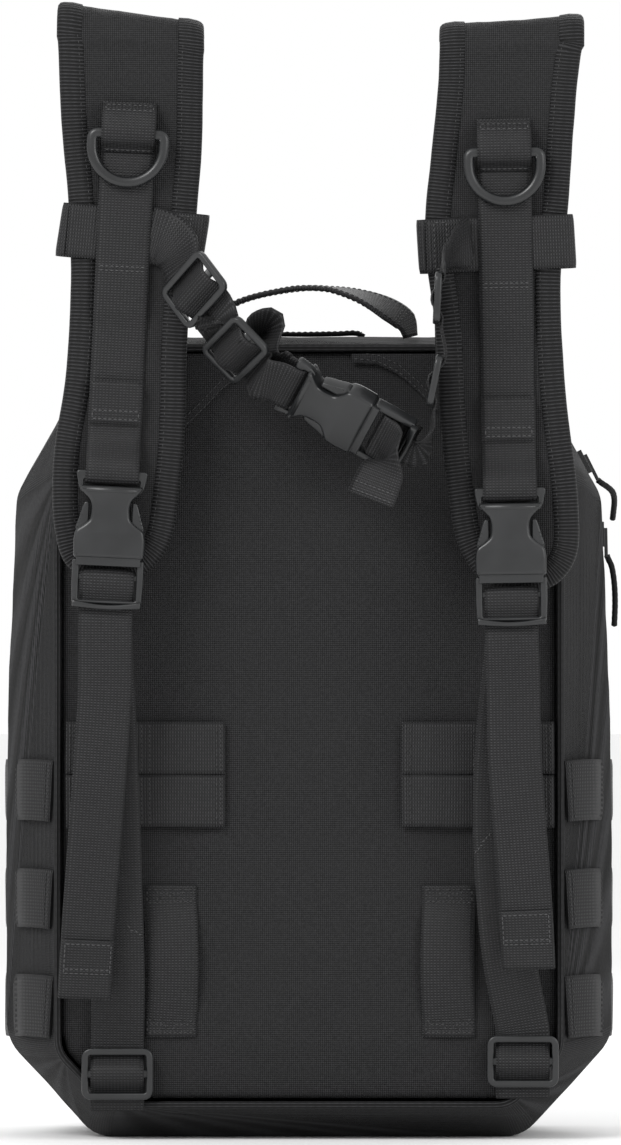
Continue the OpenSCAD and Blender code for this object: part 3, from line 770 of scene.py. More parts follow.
def puff(obj, pinned, cap, frames=20, pressure=4.0):
    """Blows cloth up round its filling. Pinned tells which points stay; cap is how far any point may move, in mm."""
    rest = read_points(obj)
    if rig.quick():
        return
    group = obj.vertex_groups.new(name="pin")
    for i, p in enumerate(rest):
        if pinned(p):
            group.add([i], 1.0, "REPLACE")
    cloth = obj.modifiers.new("cloth", "CLOTH")
    s = cloth.settings
    s.quality = 5
    s.mass = 0.2
    s.tension_stiffness = s.compression_stiffness = s.shear_stiffness = 12
    s.bending_stiffness = 0.3
    s.use_pressure = True
    s.uniform_pressure_force = pressure
    s.effector_weights.gravity = 0
    s.vertex_group_mass = "pin"
    cloth.point_cache.frame_start = 1
    cloth.point_cache.frame_end = frames
    for k in range(1, frames + 1):
        bpy.context.scene.frame_set(k)
    apply_modifiers(obj)
    obj.vertex_groups.clear()
    bpy.context.scene.frame_set(1)
    moved = read_points(obj) - rest
    length = np.linalg.norm(moved, axis=1, keepdims=True)
    write_points(obj, rest + moved * np.minimum(1, cap / np.maximum(length, 1e-6)))


def subdivide(obj):
    modifier = obj.modifiers.new("fine", "SUBSURF")
    modifier.levels = modifier.render_levels = 1
    apply_modifiers(obj)


def wrinkle(obj, depth, size, where=None, seed=1.0, sharp=True):
    """Pushes points along their normals by soft creases."""
    points = read_points(obj)
    normals = np.empty(len(points) * 3)
    obj.data.vertices.foreach_get("normal", normals)
    normals = normals.reshape(-1, 3)
    for i, p in enumerate(points):
        n = fuzz(p, size, seed) + 0.5 * fuzz(p, size * 0.45, seed + 3)
        if sharp:
            n = 0.6 - 2 * abs(n)
        points[i] = p + normals[i] * n * depth * (where(p) if where else 1.0)
    write_points(obj, points)


def smooth_shade(obj):
    obj.data.polygons.foreach_set("use_smooth", [True] * len(obj.data.polygons))


def near(value, low, high, soft):
    """1 between low and high, 0 beyond soft outside them."""
    return max(0.0, min(1.0, (value - low) / soft + 1, (high - value) / soft + 1))


def solid_from_loop(name, loop, y0, y1):
    n = len(loop)
    points = [(x, y0, z) for x, z in loop] + [(x, y1, z) for x, z in loop]
    faces = [tuple(range(n)), tuple(range(n, 2 * n))[::-1]]
    faces += [(i, n + i, n + (i + 1) % n, (i + 1) % n) for i in range(n)]
    return new_object(name, points, faces, smooth=False)


def distance_to_loop(loop, x, z):
    """How far a point lies from the outline."""
    a = np.array(loop)
    b = np.roll(a, -1, axis=0)
    ab = b - a
    t = np.clip(((np.array([x, z]) - a) * ab).sum(1) / np.maximum((ab * ab).sum(1), 1e-9), 0, 1)
    return float(np.min(np.linalg.norm(a + ab * t[:, None] - np.array([x, z]), axis=1)))


def from_front(obj):
    """A function that gives the surface point and normal of a piece as met from the harness side."""
    from mathutils.bvhtree import BVHTree
    bm = bmesh.new()
    bm.from_mesh(obj.data)
    tree = BVHTree.FromBMesh(bm)
    bm.free()

    def meet(x, z):
        hit = tree.ray_cast(Vector((x * MM, -1, z * MM)), Vector((0, 1, 0)))
        return (hit[0] / MM, hit[1]) if hit[0] else None
    return meet


def front_lines(meet, lines, step=1.5):
    """Stitch lines given as [x, z] points, laid on the surface seen from the harness side."""
    out = []
    for line in lines:
        dots = even([Vector((x, 0, z)) for x, z in line], step)
        found = [meet(q.x, q.z) for q in dots]
        run = [f for f in found if f]
        if len(run) > 1:
            out.append(run)
    return out


# ---------------------------------------------------------------- back panel and what is sewn on it
panel_loop = start_at(loops_at("panel_piping", face_y("panel_piping", -1))[0], 95, 17)
pack_loop = start_at(loops_at("lid_gusset", LID_Y)[0], 102, 0)
pocket_loop = start_at(loops_at("flap_gusset", FLAP_Y)[0], 118, 12)
PANEL_LEFT, PANEL_RIGHT = min(x for x, z in panel_loop), max(x for x, z in panel_loop)


def build_back_panel():
    loop = offset_loop(panel_loop, -2.4)
    depth = face_y("back_panel", 1) - PANEL_Y
    obj = solid_from_loop("back_panel", loop, PANEL_Y + 1.2, PANEL_Y + depth)
    remesh(obj, 4.2)
    smooth_shade(obj)
    low, high = node_box("back_molle")
    yoke = node_box("yokes")[0]

    def pinned(p):
        edge = distance_to_loop(loop, p[0], p[2]) < 3.5
        rows = low.z - 2 < p[2] < high.z + 2 and abs(p[0]) > 38
        return bool(p[1] > PANEL_Y + 3 or edge or rows or p[2] > yoke.z)
    puff(obj, pinned, 1.9)
    subdivide(obj)
    flat = lambda p: (0.25 + 0.75 * near(p[2], 24, 132, 12)) * (1 - near(p[1], PANEL_Y + 3, 0, 2))
    wrinkle(obj, 0.55, 52.0, flat)
    points = read_points(obj)
    points[:, 1] = np.maximum(points[:, 1], PANEL_Y - 2.2)
    write_points(obj, points)
    cloth_uv(obj)
    finish_piece(obj, "panel", "pack", ["back_panel"])
    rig.padded(obj, 0.75)
    return obj


def lofted(name, rings, uv_scale, closed_rings=True):
    """A surface through rings of equal length, with UVs in metres along the ring and across the rings."""
    n, m = len(rings), len(rings[0])
    points = [q for ring in rings for q in ring]
    faces, uv = [], []
    run = [[0.0] for _ in rings]
    for i, ring in enumerate(rings):
        for k in range(1, m + 1):
            run[i].append(run[i][-1] + (Vector(ring[k % m]) - Vector(ring[k - 1])).length)
    cross = [0.0]
    for i in range(1, n):
        cross.append(cross[-1] + (Vector(rings[i][0]) - Vector(rings[i - 1][0])).length)
    span = m if closed_rings else m - 1
    for i in range(n - 1):
        for k in range(span):
            j = (k + 1) % m
            faces.append((i * m + k, i * m + j, (i + 1) * m + j, (i + 1) * m + k))
            uv += [
                (run[0][k], cross[i]), (run[0][k + 1], cross[i]), (run[0][k + 1], cross[i + 1]),
                (run[0][k], cross[i + 1])
            ]
    obj = new_object(name, points, faces)
    set_uv(obj, np.array(uv) * MM * uv_scale)
    return obj


def matched(loop, counts):
    """The loop with each of its spans cut into the given number of steps."""
    out = []
    n = len(loop)
    for i in range(n):
        a, b = Vector(loop[i]), Vector(loop[(i + 1) % n])
        for k in range(counts[i]):
            out.append(tuple(a + (b - a) * k / counts[i]))
    return out


def add_thickness(obj, thickness):
    modifier = obj.modifiers.new("thick", "SOLIDIFY")
    modifier.thickness = thickness * MM
    modifier.offset = -1
    apply_modifiers(obj)


def recalc(obj):
    bm = bmesh.new()
    bm.from_mesh(obj.data)
    bmesh.ops.recalc_face_normals(bm, faces=bm.faces)
    bm.to_mesh(obj.data)
    bm.free()


def build_rear_shell():
    """The rear shell's cloth: it flares from the panel seam to the full outline, then runs back to the zip."""
    inner = offset_loop(panel_loop, -1.0)
    counts = []
    n = len(pack_loop)
    for i in range(n):
        counts.append(max(1, int((Vector(pack_loop[(i + 1) % n]) - Vector(pack_loop[i])).length / 3.5)))
    small, large = matched(inner, counts), matched(pack_loop, counts)
    stops = [PANEL_Y + 0.4 + k * 2.5 for k in range(14)] + [FLARE_Y + k * 3.0 for k in range(12)] + [SHELL_Y]
    rings = []
    for y in stops:
        f = min(1.0, (y - PANEL_Y) / (FLARE_Y - PANEL_Y))
        ring = []
        for (ax, az), (bx, bz) in zip(small, large):
            bulge = math.sin(math.pi * f) * 1.2 * near(abs(ax), 60, 200, 30)
            side = near(bz, 60, 320, 40) * near(abs(bx), 125, 200, 8)
            out = side * (3.2 * math.sin(math.pi * min(1.0, (y - PANEL_Y) / 72)) * math.sin(math.pi * max(0.0, min(1.0, (bz - 30) / 330))))
            soft = fuzz((bx * 0.6, y * 1.3, bz), 26.0, 2.0) * 1.1 + fuzz((bx * 0.5, y * 2, bz), 11.0, 5.0) * 0.4
            soft *= 0.6 * near(y, PANEL_Y + 10, SHELL_Y - 8, 8)
            k = out + bulge + soft * 0.9
            x, z = ax + (bx - ax) * f, az + (bz - az) * f
            d = Vector((x, (z - 190) * 0.4)).normalized()
            z_push = k * d.y if z > 12 else max(0.0, k * d.y)
            ring.append((x + k * d.x, y, max(0.15, z + z_push)))
        rings.append(ring)
    obj = lofted("rear_gusset", rings, 1.0)
    recalc(obj)
    add_thickness(obj, 1.4)
    smooth_shade(obj)
    return finish_piece(
        obj, "cordura", "pack",
        ["rear_gusset_left", "rear_gusset_right", "rear_gusset_top", "rear_gusset_bottom"]
    )


def build_piping():
    """A cord in a folded strip, round the seam of the back panel."""
    loop = spline(
        [(x, PANEL_Y - 0.6, z) for x, z in matched(offset_loop(panel_loop, -0.6), [4] * len(panel_loop))],
        2.5, closed=True
    )
    rings = []
    for k in range(10):
        a = 2 * math.pi * k / 10
        ring = []
        n = len(loop)
        for i in range(n):
            d = (loop[(i + 1) % n] - loop[(i - 1) % n]).normalized()
            side = Vector((d.z, 0, -d.x))
            r = 1.75 + 0.12 * fuzz(loop[i], 9.0)
            ring.append(loop[i] + side * (r * math.cos(a)) + Vector((0, 1, 0)) * (r * math.sin(a)))
        rings.append(ring)
    rings.append(rings[0])
    obj = lofted("panel_piping", rings, 1.0)
    recalc(obj)
    return finish_piece(obj, "binding", "pack", ["panel_piping"])


def join(name, parts, material, body, replaces=()):
    """Several pieces with the same cloth become one."""
    bpy.ops.object.select_all(action="DESELECT")
    for part in parts:
        part.parent = None
        part.select_set(True)
    bpy.context.view_layer.objects.active = parts[0]
    bpy.ops.object.join()
    obj = parts[0]
    obj.name = name
    return finish_piece(obj, material, body, replaces)


def build_back_molle():
    """Two rows of webbing on each side, sewn down at both ends and once between, with a slight rise between the seams."""
    low, high = node_box("back_molle")
    rows = [low.z + WEB_W / 2, high.z - WEB_W / 2]
    y = high.y - 1.0
    parts, lines = [], []
    for r, z in enumerate(rows):
        for x0, x1 in ((low.x - 1.5, -40), (44, high.x + 2.5)):
            sewn = [x0, x0 + 4, (x0 + x1) / 2 - 1.5, (x0 + x1) / 2 + 1.5, x1 - 4, x1]
            path, across = [], []
            for i, x in enumerate(even([Vector((x0, 0, 0)), Vector((x1, 0, 0))], 3)):
                gap = min(abs(x.x - s) for s in sewn)
                lift = min(1.0, gap / 9) * 0.9
                sag = 0.35 * fuzz((x.x, 0, z), 22.0, 3.0)
                path.append((x.x, y - lift, z + sag))
                across.append((0, 0, -1))
            web = Web(f"m{r}{x0:.0f}", path, across, w=WEB_W - 0.5, t=1.5, wave=0.2)
            parts.append(web.obj)
            total = web.s[-1]
            for s in (2.0, 4.6, total / 2 - 1.5, total / 2 + 1.5, total - 4.6, total - 2.0):
                lines.append(web.line(s, -0.92, s, 0.92, 1 if web.up[0].y < 0 else -1))
    join("back_molle", parts, "webbing", "pack", ["back_molle"])
    sew("back_molle_stitches", lines, "pack", pitch=2.2)


def build_belt_loops():
    """Two upright loops on the lower back panel, sewn at the ends and open between them."""
    low, high = node_box("belt_loops")
    y = high.y - 0.9
    parts, lines = [], []
    for x, lean in ((low.x + WEB_W / 2, 0.6), (high.x - WEB_W / 2, -0.5)):
        path = [(x, y, low.z), (x, y, low.z + 7), (x + lean, y - 1.6, low.z + 18), (x + lean * 1.6, y - 3.2, (low.z + high.z) / 2),
                (x + lean, y - 1.9, high.z - 19), (x, y, high.z - 8), (x, y, high.z)]
        web = Web(f"b{x:.0f}", path, [(1, 0, 0)] * len(path), t=1.6, wave=0.3, bow=-0.5)
        parts.append(web.obj)
        sign = 1 if web.up[0].y < 0 else -1
        total = web.s[-1]
        for s0, s1 in ((1.5, 7.5), (total - 8.5, total - 1.5)):
            lines += web.box(s0, s1, 0.86, sign, cross=True)
    join("belt_loops", parts, "webbing", "pack", ["belt_loops"])
    sew("belt_loop_stitches", lines, "pack", pitch=2.3)


def build_side_molle():
    """Three rows of webbing that wrap round each side of the rear shell."""
    low, high = node_box("side_molle")
    rows = [(48, 77.6), (100, 128), (151, 180)]
    parts, lines = [], []
    for side in (-1, 1):
        for z0, z1 in rows:
            mid = (z0 + z1) / 2
            wide = (high.x - low.x) / 2 - 3.6
            seam = PANEL_RIGHT + 2.2
            path = [(side * seam, PANEL_Y + 1.8, mid), (side * (seam + 5), PANEL_Y + 6.5, mid + 0.5),
                    (side * (seam + 13.5), PANEL_Y + 18, mid + 0.7), (side * (wide - 4.2), FLARE_Y - 6, mid + 0.3),
                    (side * (wide - 0.6), FLARE_Y + 3, mid), (side * (wide + 0.9), -2, mid), (side * (wide + 0.4), SHELL_Y - 4, mid)]
            web = Web(f"s{side}{z0}", path, [(0, 0, 1)] * len(path), w=z1 - z0, t=1.6, wave=0.4)
            parts.append(web.obj)
            sign = side * (1 if web.up[len(web.up) // 2].x > 0 else -1)
            total = web.s[-1]
            for s in (1.6, 4.2, total * 0.42, total * 0.42 + 2.6, total - 4.4, total - 1.8):
                lines.append(web.line(s, -0.92, s, 0.92, sign))
    join("side_molle", parts, "webbing", "pack", ["side_molle"])
    sew("side_molle_stitches", lines, "pack", pitch=2.3)


def plate(name, loop, y, thickness, body, material, replaces=(), cell=3.0, lift=None):
    """A cut of cloth on the back panel: a thin soft-edged plate over an outline, harness side at y."""
    obj = solid_from_loop(name, loop, y, y + thickness)
    remesh(obj, min(cell, thickness * 0.75))
    points = read_points(obj)
    for i, p in enumerate(points):
        if lift:
            points[i][1] += lift(p)
    write_points(obj, points)
    smooth_shade(obj)
    cloth_uv(obj)
    return finish_piece(obj, material, body, replaces)


def build_yokes():
    """The reinforcing cuts that take the shoulder straps at the top of the panel."""
    low, high = node_box("yokes")
    top = high.z + 1.5
    y = PANEL_Y - 1.9
    left = [
        (-107, 337), (-60, 337), (-52, 345), (-42, 355.5), (-31, 364), (-20, 367.5), (-20, top), (-93, top),
        (-107.5, 343)
    ]
    right = [
        (107, 342), (107.5, 345), (93, top), (20, top), (20, 369), (33, 368), (43, 363), (52, 355),
        (61, 345.5), (65, 342)
    ]
    parts = [plate("yl", left, y, 1.5, None, "cordura"), plate("yr", right, y, 1.5, None, "cordura")]
    obj = join("yokes", parts, "cordura", "pack", ["yokes"])
    meet = from_front(obj)
    inset_left = [(-59, 339.4), (-50.6, 347.4), (-40.8, 357.6), (-30, 366.2), (-21, 369.4)]
    inset_right = [(64, 344.6), (60, 348), (51, 357.6), (42, 365.4), (32, 370.2), (21, 371.2)]
    second = [[(x - 1, z + 3.0) for x, z in inset_left], [(x + 1, z + 2.6) for x, z in inset_right]]
    sew(
        "yoke_stitches",
        front_lines(meet, [inset_left, inset_right, *second, [(-106, 339.4), (-59, 339.4)], [(64, 344.6), (106, 344.6)]]),
        "pack"
    )


def build_port_flap():
    """A short flap over the hydration hose's way out, on the top edge."""
    low, high = node_box("port_flap")
    z = (low.z + high.z) / 2
    path = [
        (low.x - 0.5, -4, z - 0.9), (low.x + 3, -4, z + 0.5), (low.x + 14, -4, z + 0.2), (0, -4, z + 0.1),
        (high.x - 12, -4, z + 0.3), (high.x - 3, -4, z + 0.6), (high.x + 0.5, -4, z - 0.9)
    ]
    web = Web(
        "port_flap", path, [(0, 1, 0)] * len(path), body="pack", replaces=["port_flap"], w=high.y - low.y,
        t=2.2, wave=0.3, material="band"
    )
    sign = 1 if web.up[3].z > 0 else -1
    sew("port_flap_stitches", web.box(2, web.s[-1] - 2, 0.86, sign), "pack")


def build_handle():
    """The carry handle: folded webbing, edge-on at the left and turned face-on where the right end is sewn in."""
    low, high = node_box("carry_handle")
    y = (low.y + high.y) / 2
    top = high.z - 0.6
    path = [
        (low.x + 0.5, y, 382), (low.x - 0.5, y, 389.5), (-38, y, 396.5), (-24, y, 401.5), (-6, y, top),
        (10, y, top - 0.4), (25, y, 401), (37, y, 395.5), (46, y, 389), (48.5, y, 381.8)
    ]
    across = [
        (0.3, 1, 0.2), (0.15, 1, 0.1), (0, 1, 0), (0, 1, 0), (0, 1, 0), (0, 1, 0.05), (0.1, 1, 0.25),
        (0.25, 0.95, 0.5), (0.4, 0.8, 0.6), (0.5, 0.7, 0.2)
    ]
    widths = [9, 15, 21, 23, 24, 24, 23.5, 21, 16, 10]
    web = Web(
        "carry_handle", path, across, body="carry_handle", replaces=["carry_handle"], widths=widths, t=2.4,
        wave=0.35, bow=0.0
    )
    sign = 1 if web.up[10].z > 0 else -1
    lines = [web.line(4, k, web.s[-1] - 4, k, sign) for k in (-0.8, 0.8)]
    lines += [web.line(4, k, web.s[-1] - 4, k, -sign) for k in (-0.8, 0.8)]
    for s in (9, 11.5, web.s[-1] - 12, web.s[-1] - 9.5):
        lines.append(web.line(s, -0.8, s, 0.8, sign))
        lines.append(web.line(s, -0.8, s, 0.8, -sign))
    sew("carry_handle_stitches", lines, "carry_handle", pitch=2.6)


# ---------------------------------------------------------------- shoulder straps
FOLD_R = 14.0


def build_shoulder_pad(side):
    """A padded strap: its front run, the fold at the top and the rear run that goes down to the yoke."""
    name = f"shoulder_pad_{side}"
    bm = world_mesh(name)
    data = bpy.data.meshes.new(name)
    bm.transform(Matrix.Scale(MM, 4))
    bm.to_mesh(data)
    bm.free()
    obj = bpy.data.objects.new(name + "_soft", data)
    bpy.context.collection.objects.link(obj)
    remesh(obj, 4.2)
    smooth_shade(obj)
    low, high = node_box(name)
    fold_z = high.z - FOLD_R
    rear_y = high.y - 10
    points = read_points(obj)
    mid = low.y + 5
    front = points[:, 2] < fold_z - 2
    run = (points[:, 1] < low.y + 10.5) & front
    points[run, 1] = mid + (points[run, 1] - mid) * 0.84
    write_points(obj, points)
    puff(obj, lambda p: bool(p[1] > rear_y + 1 or p[2] > fold_z + 4), 1.3, frames=16)
    subdivide(obj)

    def crease(p):
        fold = near(p[2], fold_z - 14, high.z, 20)
        return 0.45 + 1.0 * fold
    wrinkle(obj, 0.42, 24.0, crease, seed=4.0 if side == "left" else 6.0)
    points = read_points(obj)
    shown = points[:, 2] < fold_z - 6
    points[shown, 1] = np.maximum(points[shown, 1], low.y - 0.15)
    write_points(obj, points)
    lean_top(obj, side)
    cloth_uv(obj)
    finish_piece(obj, "panel", "pack", [name])
    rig.padded(obj, 0.8)
    return obj


TOP_DROP = {"left": (0.0, 9.5), "right": (11.0, 6.0)}


def lean_top(obj, side):
    """The folded top of each strap isn't level: it drops by these amounts at its left and right edges."""
    low, high = node_box(f"shoulder_pad_{side}")
    at_left, at_right = TOP_DROP[side]
    points = read_points(obj)
    f = np.clip((points[:, 0] - low.x) / (high.x - low.x), 0, 1)
    rise = np.clip((points[:, 2] - 450) / (high.z - 450), 0, 1) ** 1.5
    points[:, 2] -= (at_left + (at_right - at_left) * f) * rise
    write_points(obj, points)


def open_outline(name):
    """The free edge of a strap's front run, from the top on one side round the end and back up, as [x, z]."""
    low, high = node_box(name)
    loop = loops_at(name, low.y)[0]
    fold_z = max(z for x, z in loop)
    tops = [i for i, (x, z) in enumerate(loop) if z > fold_z - 1]
    first = max(tops, key=lambda i: -loop[i][0])
    turned = loop[first:] + loop[:first]
    keep = [q for q in turned if q[1] <= fold_z + 0.1]
    return keep


def build_binding(side):
    """Ribbed tape folded over the edge of the strap, with its row of stitches, running on up over the fold."""
    name = f"shoulder_pad_{side}"
    low, high = node_box(name)
    fold_z = high.z - FOLD_R
    outline = open_outline(name)
    run = [Vector((x, 0, z)) for x, z in outline]
    curve = spline(run, 2.6)
    lead, trail = [], []
    for i in range(1, 9):
        a = math.pi * i / 10
        lift = (FOLD_R * math.sin(a), FOLD_R - FOLD_R * math.cos(a))
        lead.insert(0, (curve[0] + Vector((0, 0, lift[0])), lift[1], a))
        trail.append((curve[-1] + Vector((0, 0, lift[0])), lift[1], a))
    rows = lead + [(p, 0.0, 0.0) for p in curve] + trail
    n = len(rows)
    mid = low.y + 5
    profile = [(-10.4, -5.2), (-10.2, -5.75), (-6.0, -6.0), (-2.0, -5.5), (-0.4, -4.9), (0.5, -3.6), (0.8, -1.8), (0.85, 0.0), (0.8, 1.8), (0.5, 3.6),
               (-0.4, 4.9), (-2.0, 5.5), (-6.0, 5.9), (-10.2, 5.7), (-10.4, 5.2)]
    rings = []
    seam_a, seam_b = [], []
    for i, (p, deep, angle) in enumerate(rows):
        q0, q1 = rows[max(i - 1, 0)][0], rows[min(i + 1, n - 1)][0]
        if angle:
            q0, q1 = (curve[0], curve[1]) if i < len(lead) else (curve[-2], curve[-1])
        d = (q1 - q0).normalized()
        out = Vector((d.z, 0, -d.x))
        front = Vector((0, math.cos(angle), -math.sin(angle)))
        centre = Vector((p.x, low.y + deep, p.z)) + front * 5
        ring = []
        for a, b in profile:
            rib = 1 + 0.012 * math.sin(i * 2.4)
            ring.append(centre + out * (a * rib + 0.25 * fuzz(p, 16.0, 4.0)) + front * (b * 0.93))
        rings.append(ring)
        if not angle:
            seam_a.append((centre + out * -8.6 + front * (-5.95 * 0.93), -front))
            seam_b.append((centre + out * -8.6 + front * (5.85 * 0.93), front))
    obj = lofted(name + "_binding", rings, 1.0, closed_rings=False)
    layer = obj.data.uv_layers["cloth"].data
    run_s = [0.0]
    for i in range(1, n):
        run_s.append(run_s[-1] + (rings[i][5] - rings[i - 1][5]).length)
    across = [0.0]
    for k in range(1, len(profile)):
        across.append(across[-1] + math.dist(profile[k], profile[k - 1]))
    m = len(profile)
    for loop in obj.data.loops:
        i, k = divmod(loop.vertex_index, m)
        layer[loop.index].uv = (across[k] * MM, run_s[i] * MM)
    recalc(obj)
    modifier = obj.modifiers.new("thick", "SOLIDIFY")
    modifier.thickness = 0.9 * MM
    modifier.offset = 0
    apply_modifiers(obj)
    smooth_shade(obj)
    lean_top(obj, side)
    finish_piece(obj, "binding", "pack")
    seams = sew(name + "_binding_stitches", [seam_a, seam_b], None, pitch=3.0)
    lean_top(seams, side)
    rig.ride(seams, "pack")
    return obj


# ---------------------------------------------------------------- strap webbing, buckles and rings
class Line:
    """A buckle's own frame, given by its mouth and axes: the mouth is at 0 and the female half lies above it."""

    def __init__(self, mouth, x, y, z):
        self.mouth, self.x, self.y, self.z = Vector(mouth), Vector(x), Vector(y), Vector(z)

    def __call__(self, x, y, z):
        return self.mouth + self.x * x + self.y * y + self.z * z


def turned(mouth, lean, spin=0.0):
    """The frame turned by lean about Y, after a spin about its own length, both in degrees."""
    m = Matrix.Rotation(math.radians(lean), 3, "Y") @ Matrix.Rotation(math.radians(spin), 3, "Z")
    return Line(mouth, m @ Vector((1, 0, 0)), m @ Vector((0, 1, 0)), m @ Vector((0, 0, 1)))


BUCKLE_Y = PAD_FRONT_Y - 8.5
LINES = {"left": turned((-94.7, BUCKLE_Y, 276), 2.7), "right": turned((95.4, BUCKLE_Y, 268), -0.9)}
STERNUM = turned((26, PAD_FRONT_Y - 18.5, 339.3), -61.5, -40)
RING_BAR = {"left": 201, "right": 200}


def build_strap_webbing(side):
    """The strap's own webbing: from under the ring's fold, down the padding and round the buckle's bar."""
    at = LINES[side]
    name = f"strap_webbing_{side}"
    face = 8.5
    run = [(face - 1.5, 216), (face - 1.6, 206), (face - 1.4, 196), (face - 3, 188), (face - 3.6, 150), (face - 3, 118), (face - 1.4, 110),
           (face - 1.3, 80), (face - 1.2, 53), (3.4, 43), (2.9, 37.6), (1.4, 35.9), (-1.4, 35.9), (-2.9, 37.6), (-2.6, 44), (5.0, 57), (5.8, 66), (5.8, 80)]
    path = [at(0.25 * fuzz((z, 0, 0), 40, 2.0), y, z) for y, z in run]
    web = Web(name, path, [at.x] * len(path), body="pack", t=1.5, wave=0.25)
    sign = 1 if web.up[2].y < 0 else -1
    lines = []
    for s in (78.0, 80.4, 146.0, 148.5):
        lines.append(web.line(s, -0.86, s, 0.86, sign))
    back = Web(name + "_fold", [at(0, face - 4.6, z) for z in (64, 72, 84)], [at.x] * 3, body="pack", t=1.3, wave=0.15)
    lines += back.box(1.5, 7.0, 0.86, 1 if back.up[1].y < 0 else -1)
    z0 = RING_BAR[side]
    y0 = face - 3 - 1.6 - 2.4
    loop = [at(0, face - 3.4, z0 - 8.5), at(0, face - 4.2, z0 - 6.5), at(0, y0 - 1.6, z0 - 3.6), at(0, y0 - 3.3, z0 - 0.6),
            at(0, y0 - 3.4, z0 + 2.6), at(0, y0 - 2.6, z0 + 6.5), at(0, y0 - 0.6, z0 + 10.5), at(0, face - 3.9, z0 + 13.6)]
    holder = Web(name + "_ring_fold", loop, [at.x] * len(loop), body="pack", t=1.5, wave=0.2, step=1.2)
    sign = 1 if holder.up[4].y < 0 else -1
    end = holder.s[-1]
    for s in (1.5, end - 1.6, end - 4.2):
        lines.append(holder.line(s, -0.88, s, 0.88, sign))
    lines += [holder.line(end - 4.2, k, end - 1.6, k, sign) for k in (-0.88, 0.88)]
    Web(
        name + "_ring_pad", [at(0, (face - 3 + y0) / 2 - 0.4, z) for z in (z0 + 3.6, z0 + 6, z0 + 9)],
        [at.x] * 3, body="pack", w=24.6, t=4.6, wave=0.1, step=1.5
    )
    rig.replaces(web.obj, name)
    sew(name + "_stitches", lines, "pack", "thread_pale", pitch=2.3)


def build_d_ring(side):
    """Moulded D ring, swept as one wire: a straight bar and a round bow."""
    at = LINES[side]
    z0, y0, half, leg, r = RING_BAR[side], 1.5, 17.0, 6.0, 2.6
    path = [at(k, y0, z0) for k in np.linspace(-half + 2.5, half - 2.5, 12)]
    for k in range(1, 6):
        a = math.pi / 2 * k / 6
        path.append(at(half - 2.5 + 2.5 * math.sin(a), y0, z0 - 2.5 + 2.5 * math.cos(a)))
    path.append(at(half, y0, z0 - 3.5))
    for k in range(0, 25):
        a = math.pi * k / 24
        path.append(at(half * math.cos(a), y0, z0 - leg - half * math.sin(a)))
    path.append(at(-half, y0, z0 - 3.5))
    for k in range(1, 6):
        a = math.pi / 2 * (1 - k / 6)
        path.append(at(-half + 2.5 - 2.5 * math.sin(a), y0, z0 - 2.5 + 2.5 * math.cos(a)))
    n = len(path)
    rings = []
    for k in range(14):
        a = 2 * math.pi * k / 14
        ring = []
        for i in range(n):
            d = (path[(i + 1) % n] - path[(i - 1) % n]).normalized()
            out = d.cross(at.y).normalized()
            flat = 0.92 if abs(math.sin(a)) > 0.9 else 1.0
            ring.append(path[i] + out * (r * math.cos(a)) + at.y * (r * math.sin(a) * flat))
        rings.append(ring)
    rings.append(rings[0])
    obj = lofted(f"d_ring_{side}", rings, 1.0)
    recalc(obj)
    finish_piece(obj, "plastic", f"d_ring_{side}", [f"d_ring_{side}"])


def dress_cad(node, bevel, material, segments=3, angle=35):
    """Softens a hard CAD piece's edges and gives it its finish."""
    obj = frame["nodes"][node]
    weld = obj.modifiers.new("weld", "WELD")
    weld.merge_threshold = 0.00002
    modifier = obj.modifiers.new("soft edges", "BEVEL")
    modifier.width = bevel * MM
    modifier.segments = segments
    modifier.limit_method = "ANGLE"
    modifier.angle_limit = math.radians(angle)
    modifier.harden_normals = True
    obj.data.materials.clear()
    obj.data.materials.append(M[material])
    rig.slot(obj, SLOTS[material])


def rib(name, at, x0, x1, y, z0, z1, body, proud=0.5, taper=0.6):
    """A low moulded rib or pad on a buckle's face, in the buckle's own frame. Proud is towards its face."""
    bm = bmesh.new()
    corners = []
    for px, pz in ((x0, z0), (x1, z0), (x1, z1), (x0, z1)):
        corners.append((px, pz))
    cx, cz = (x0 + x1) / 2, (z0 + z1) / 2
    low = [bm.verts.new(at(px, y, pz)) for px, pz in corners]
    high = [
        bm.verts.new(at(cx + (px - cx) - math.copysign(taper * 0.5, px - cx), y + proud, cz + (pz - cz) - math.copysign(taper * 0.5, pz - cz))) for px,
        pz in corners
    ]
    bm.faces.new(low)
    bm.faces.new(high[::-1])
    for k in range(4):
        j = (k + 1) % 4
        bm.faces.new((low[k], high[k], high[j], low[j]))
    bmesh.ops.recalc_face_normals(bm, faces=bm.faces)
    bmesh.ops.bevel(bm, geom=[e for e in bm.edges], offset=min(0.35, abs(proud) * 0.45), segments=2, affect="EDGES")
    bm.transform(Matrix.Scale(MM, 4))
    data = bpy.data.meshes.new(name)
    bm.to_mesh(data)
    bm.free()
    obj = bpy.data.objects.new(name, data)
    bpy.context.collection.objects.link(obj)
    smooth_shade(obj)
    return finish_piece(obj, "plastic", body)


BUCKLES = {
    "left": ("pack", "buckle_plug_left", {"inner": "arm_left_inner", "outer": "arm_left_outer"}),
    "right": ("pack", "buckle_plug_right", {"inner": "arm_right_inner", "outer": "arm_right_outer"}),
    "sternum": ("sternum_strap", "sternum_plug", {"upper": "sternum_arm_upper", "lower": "sternum_arm_lower"}),
}


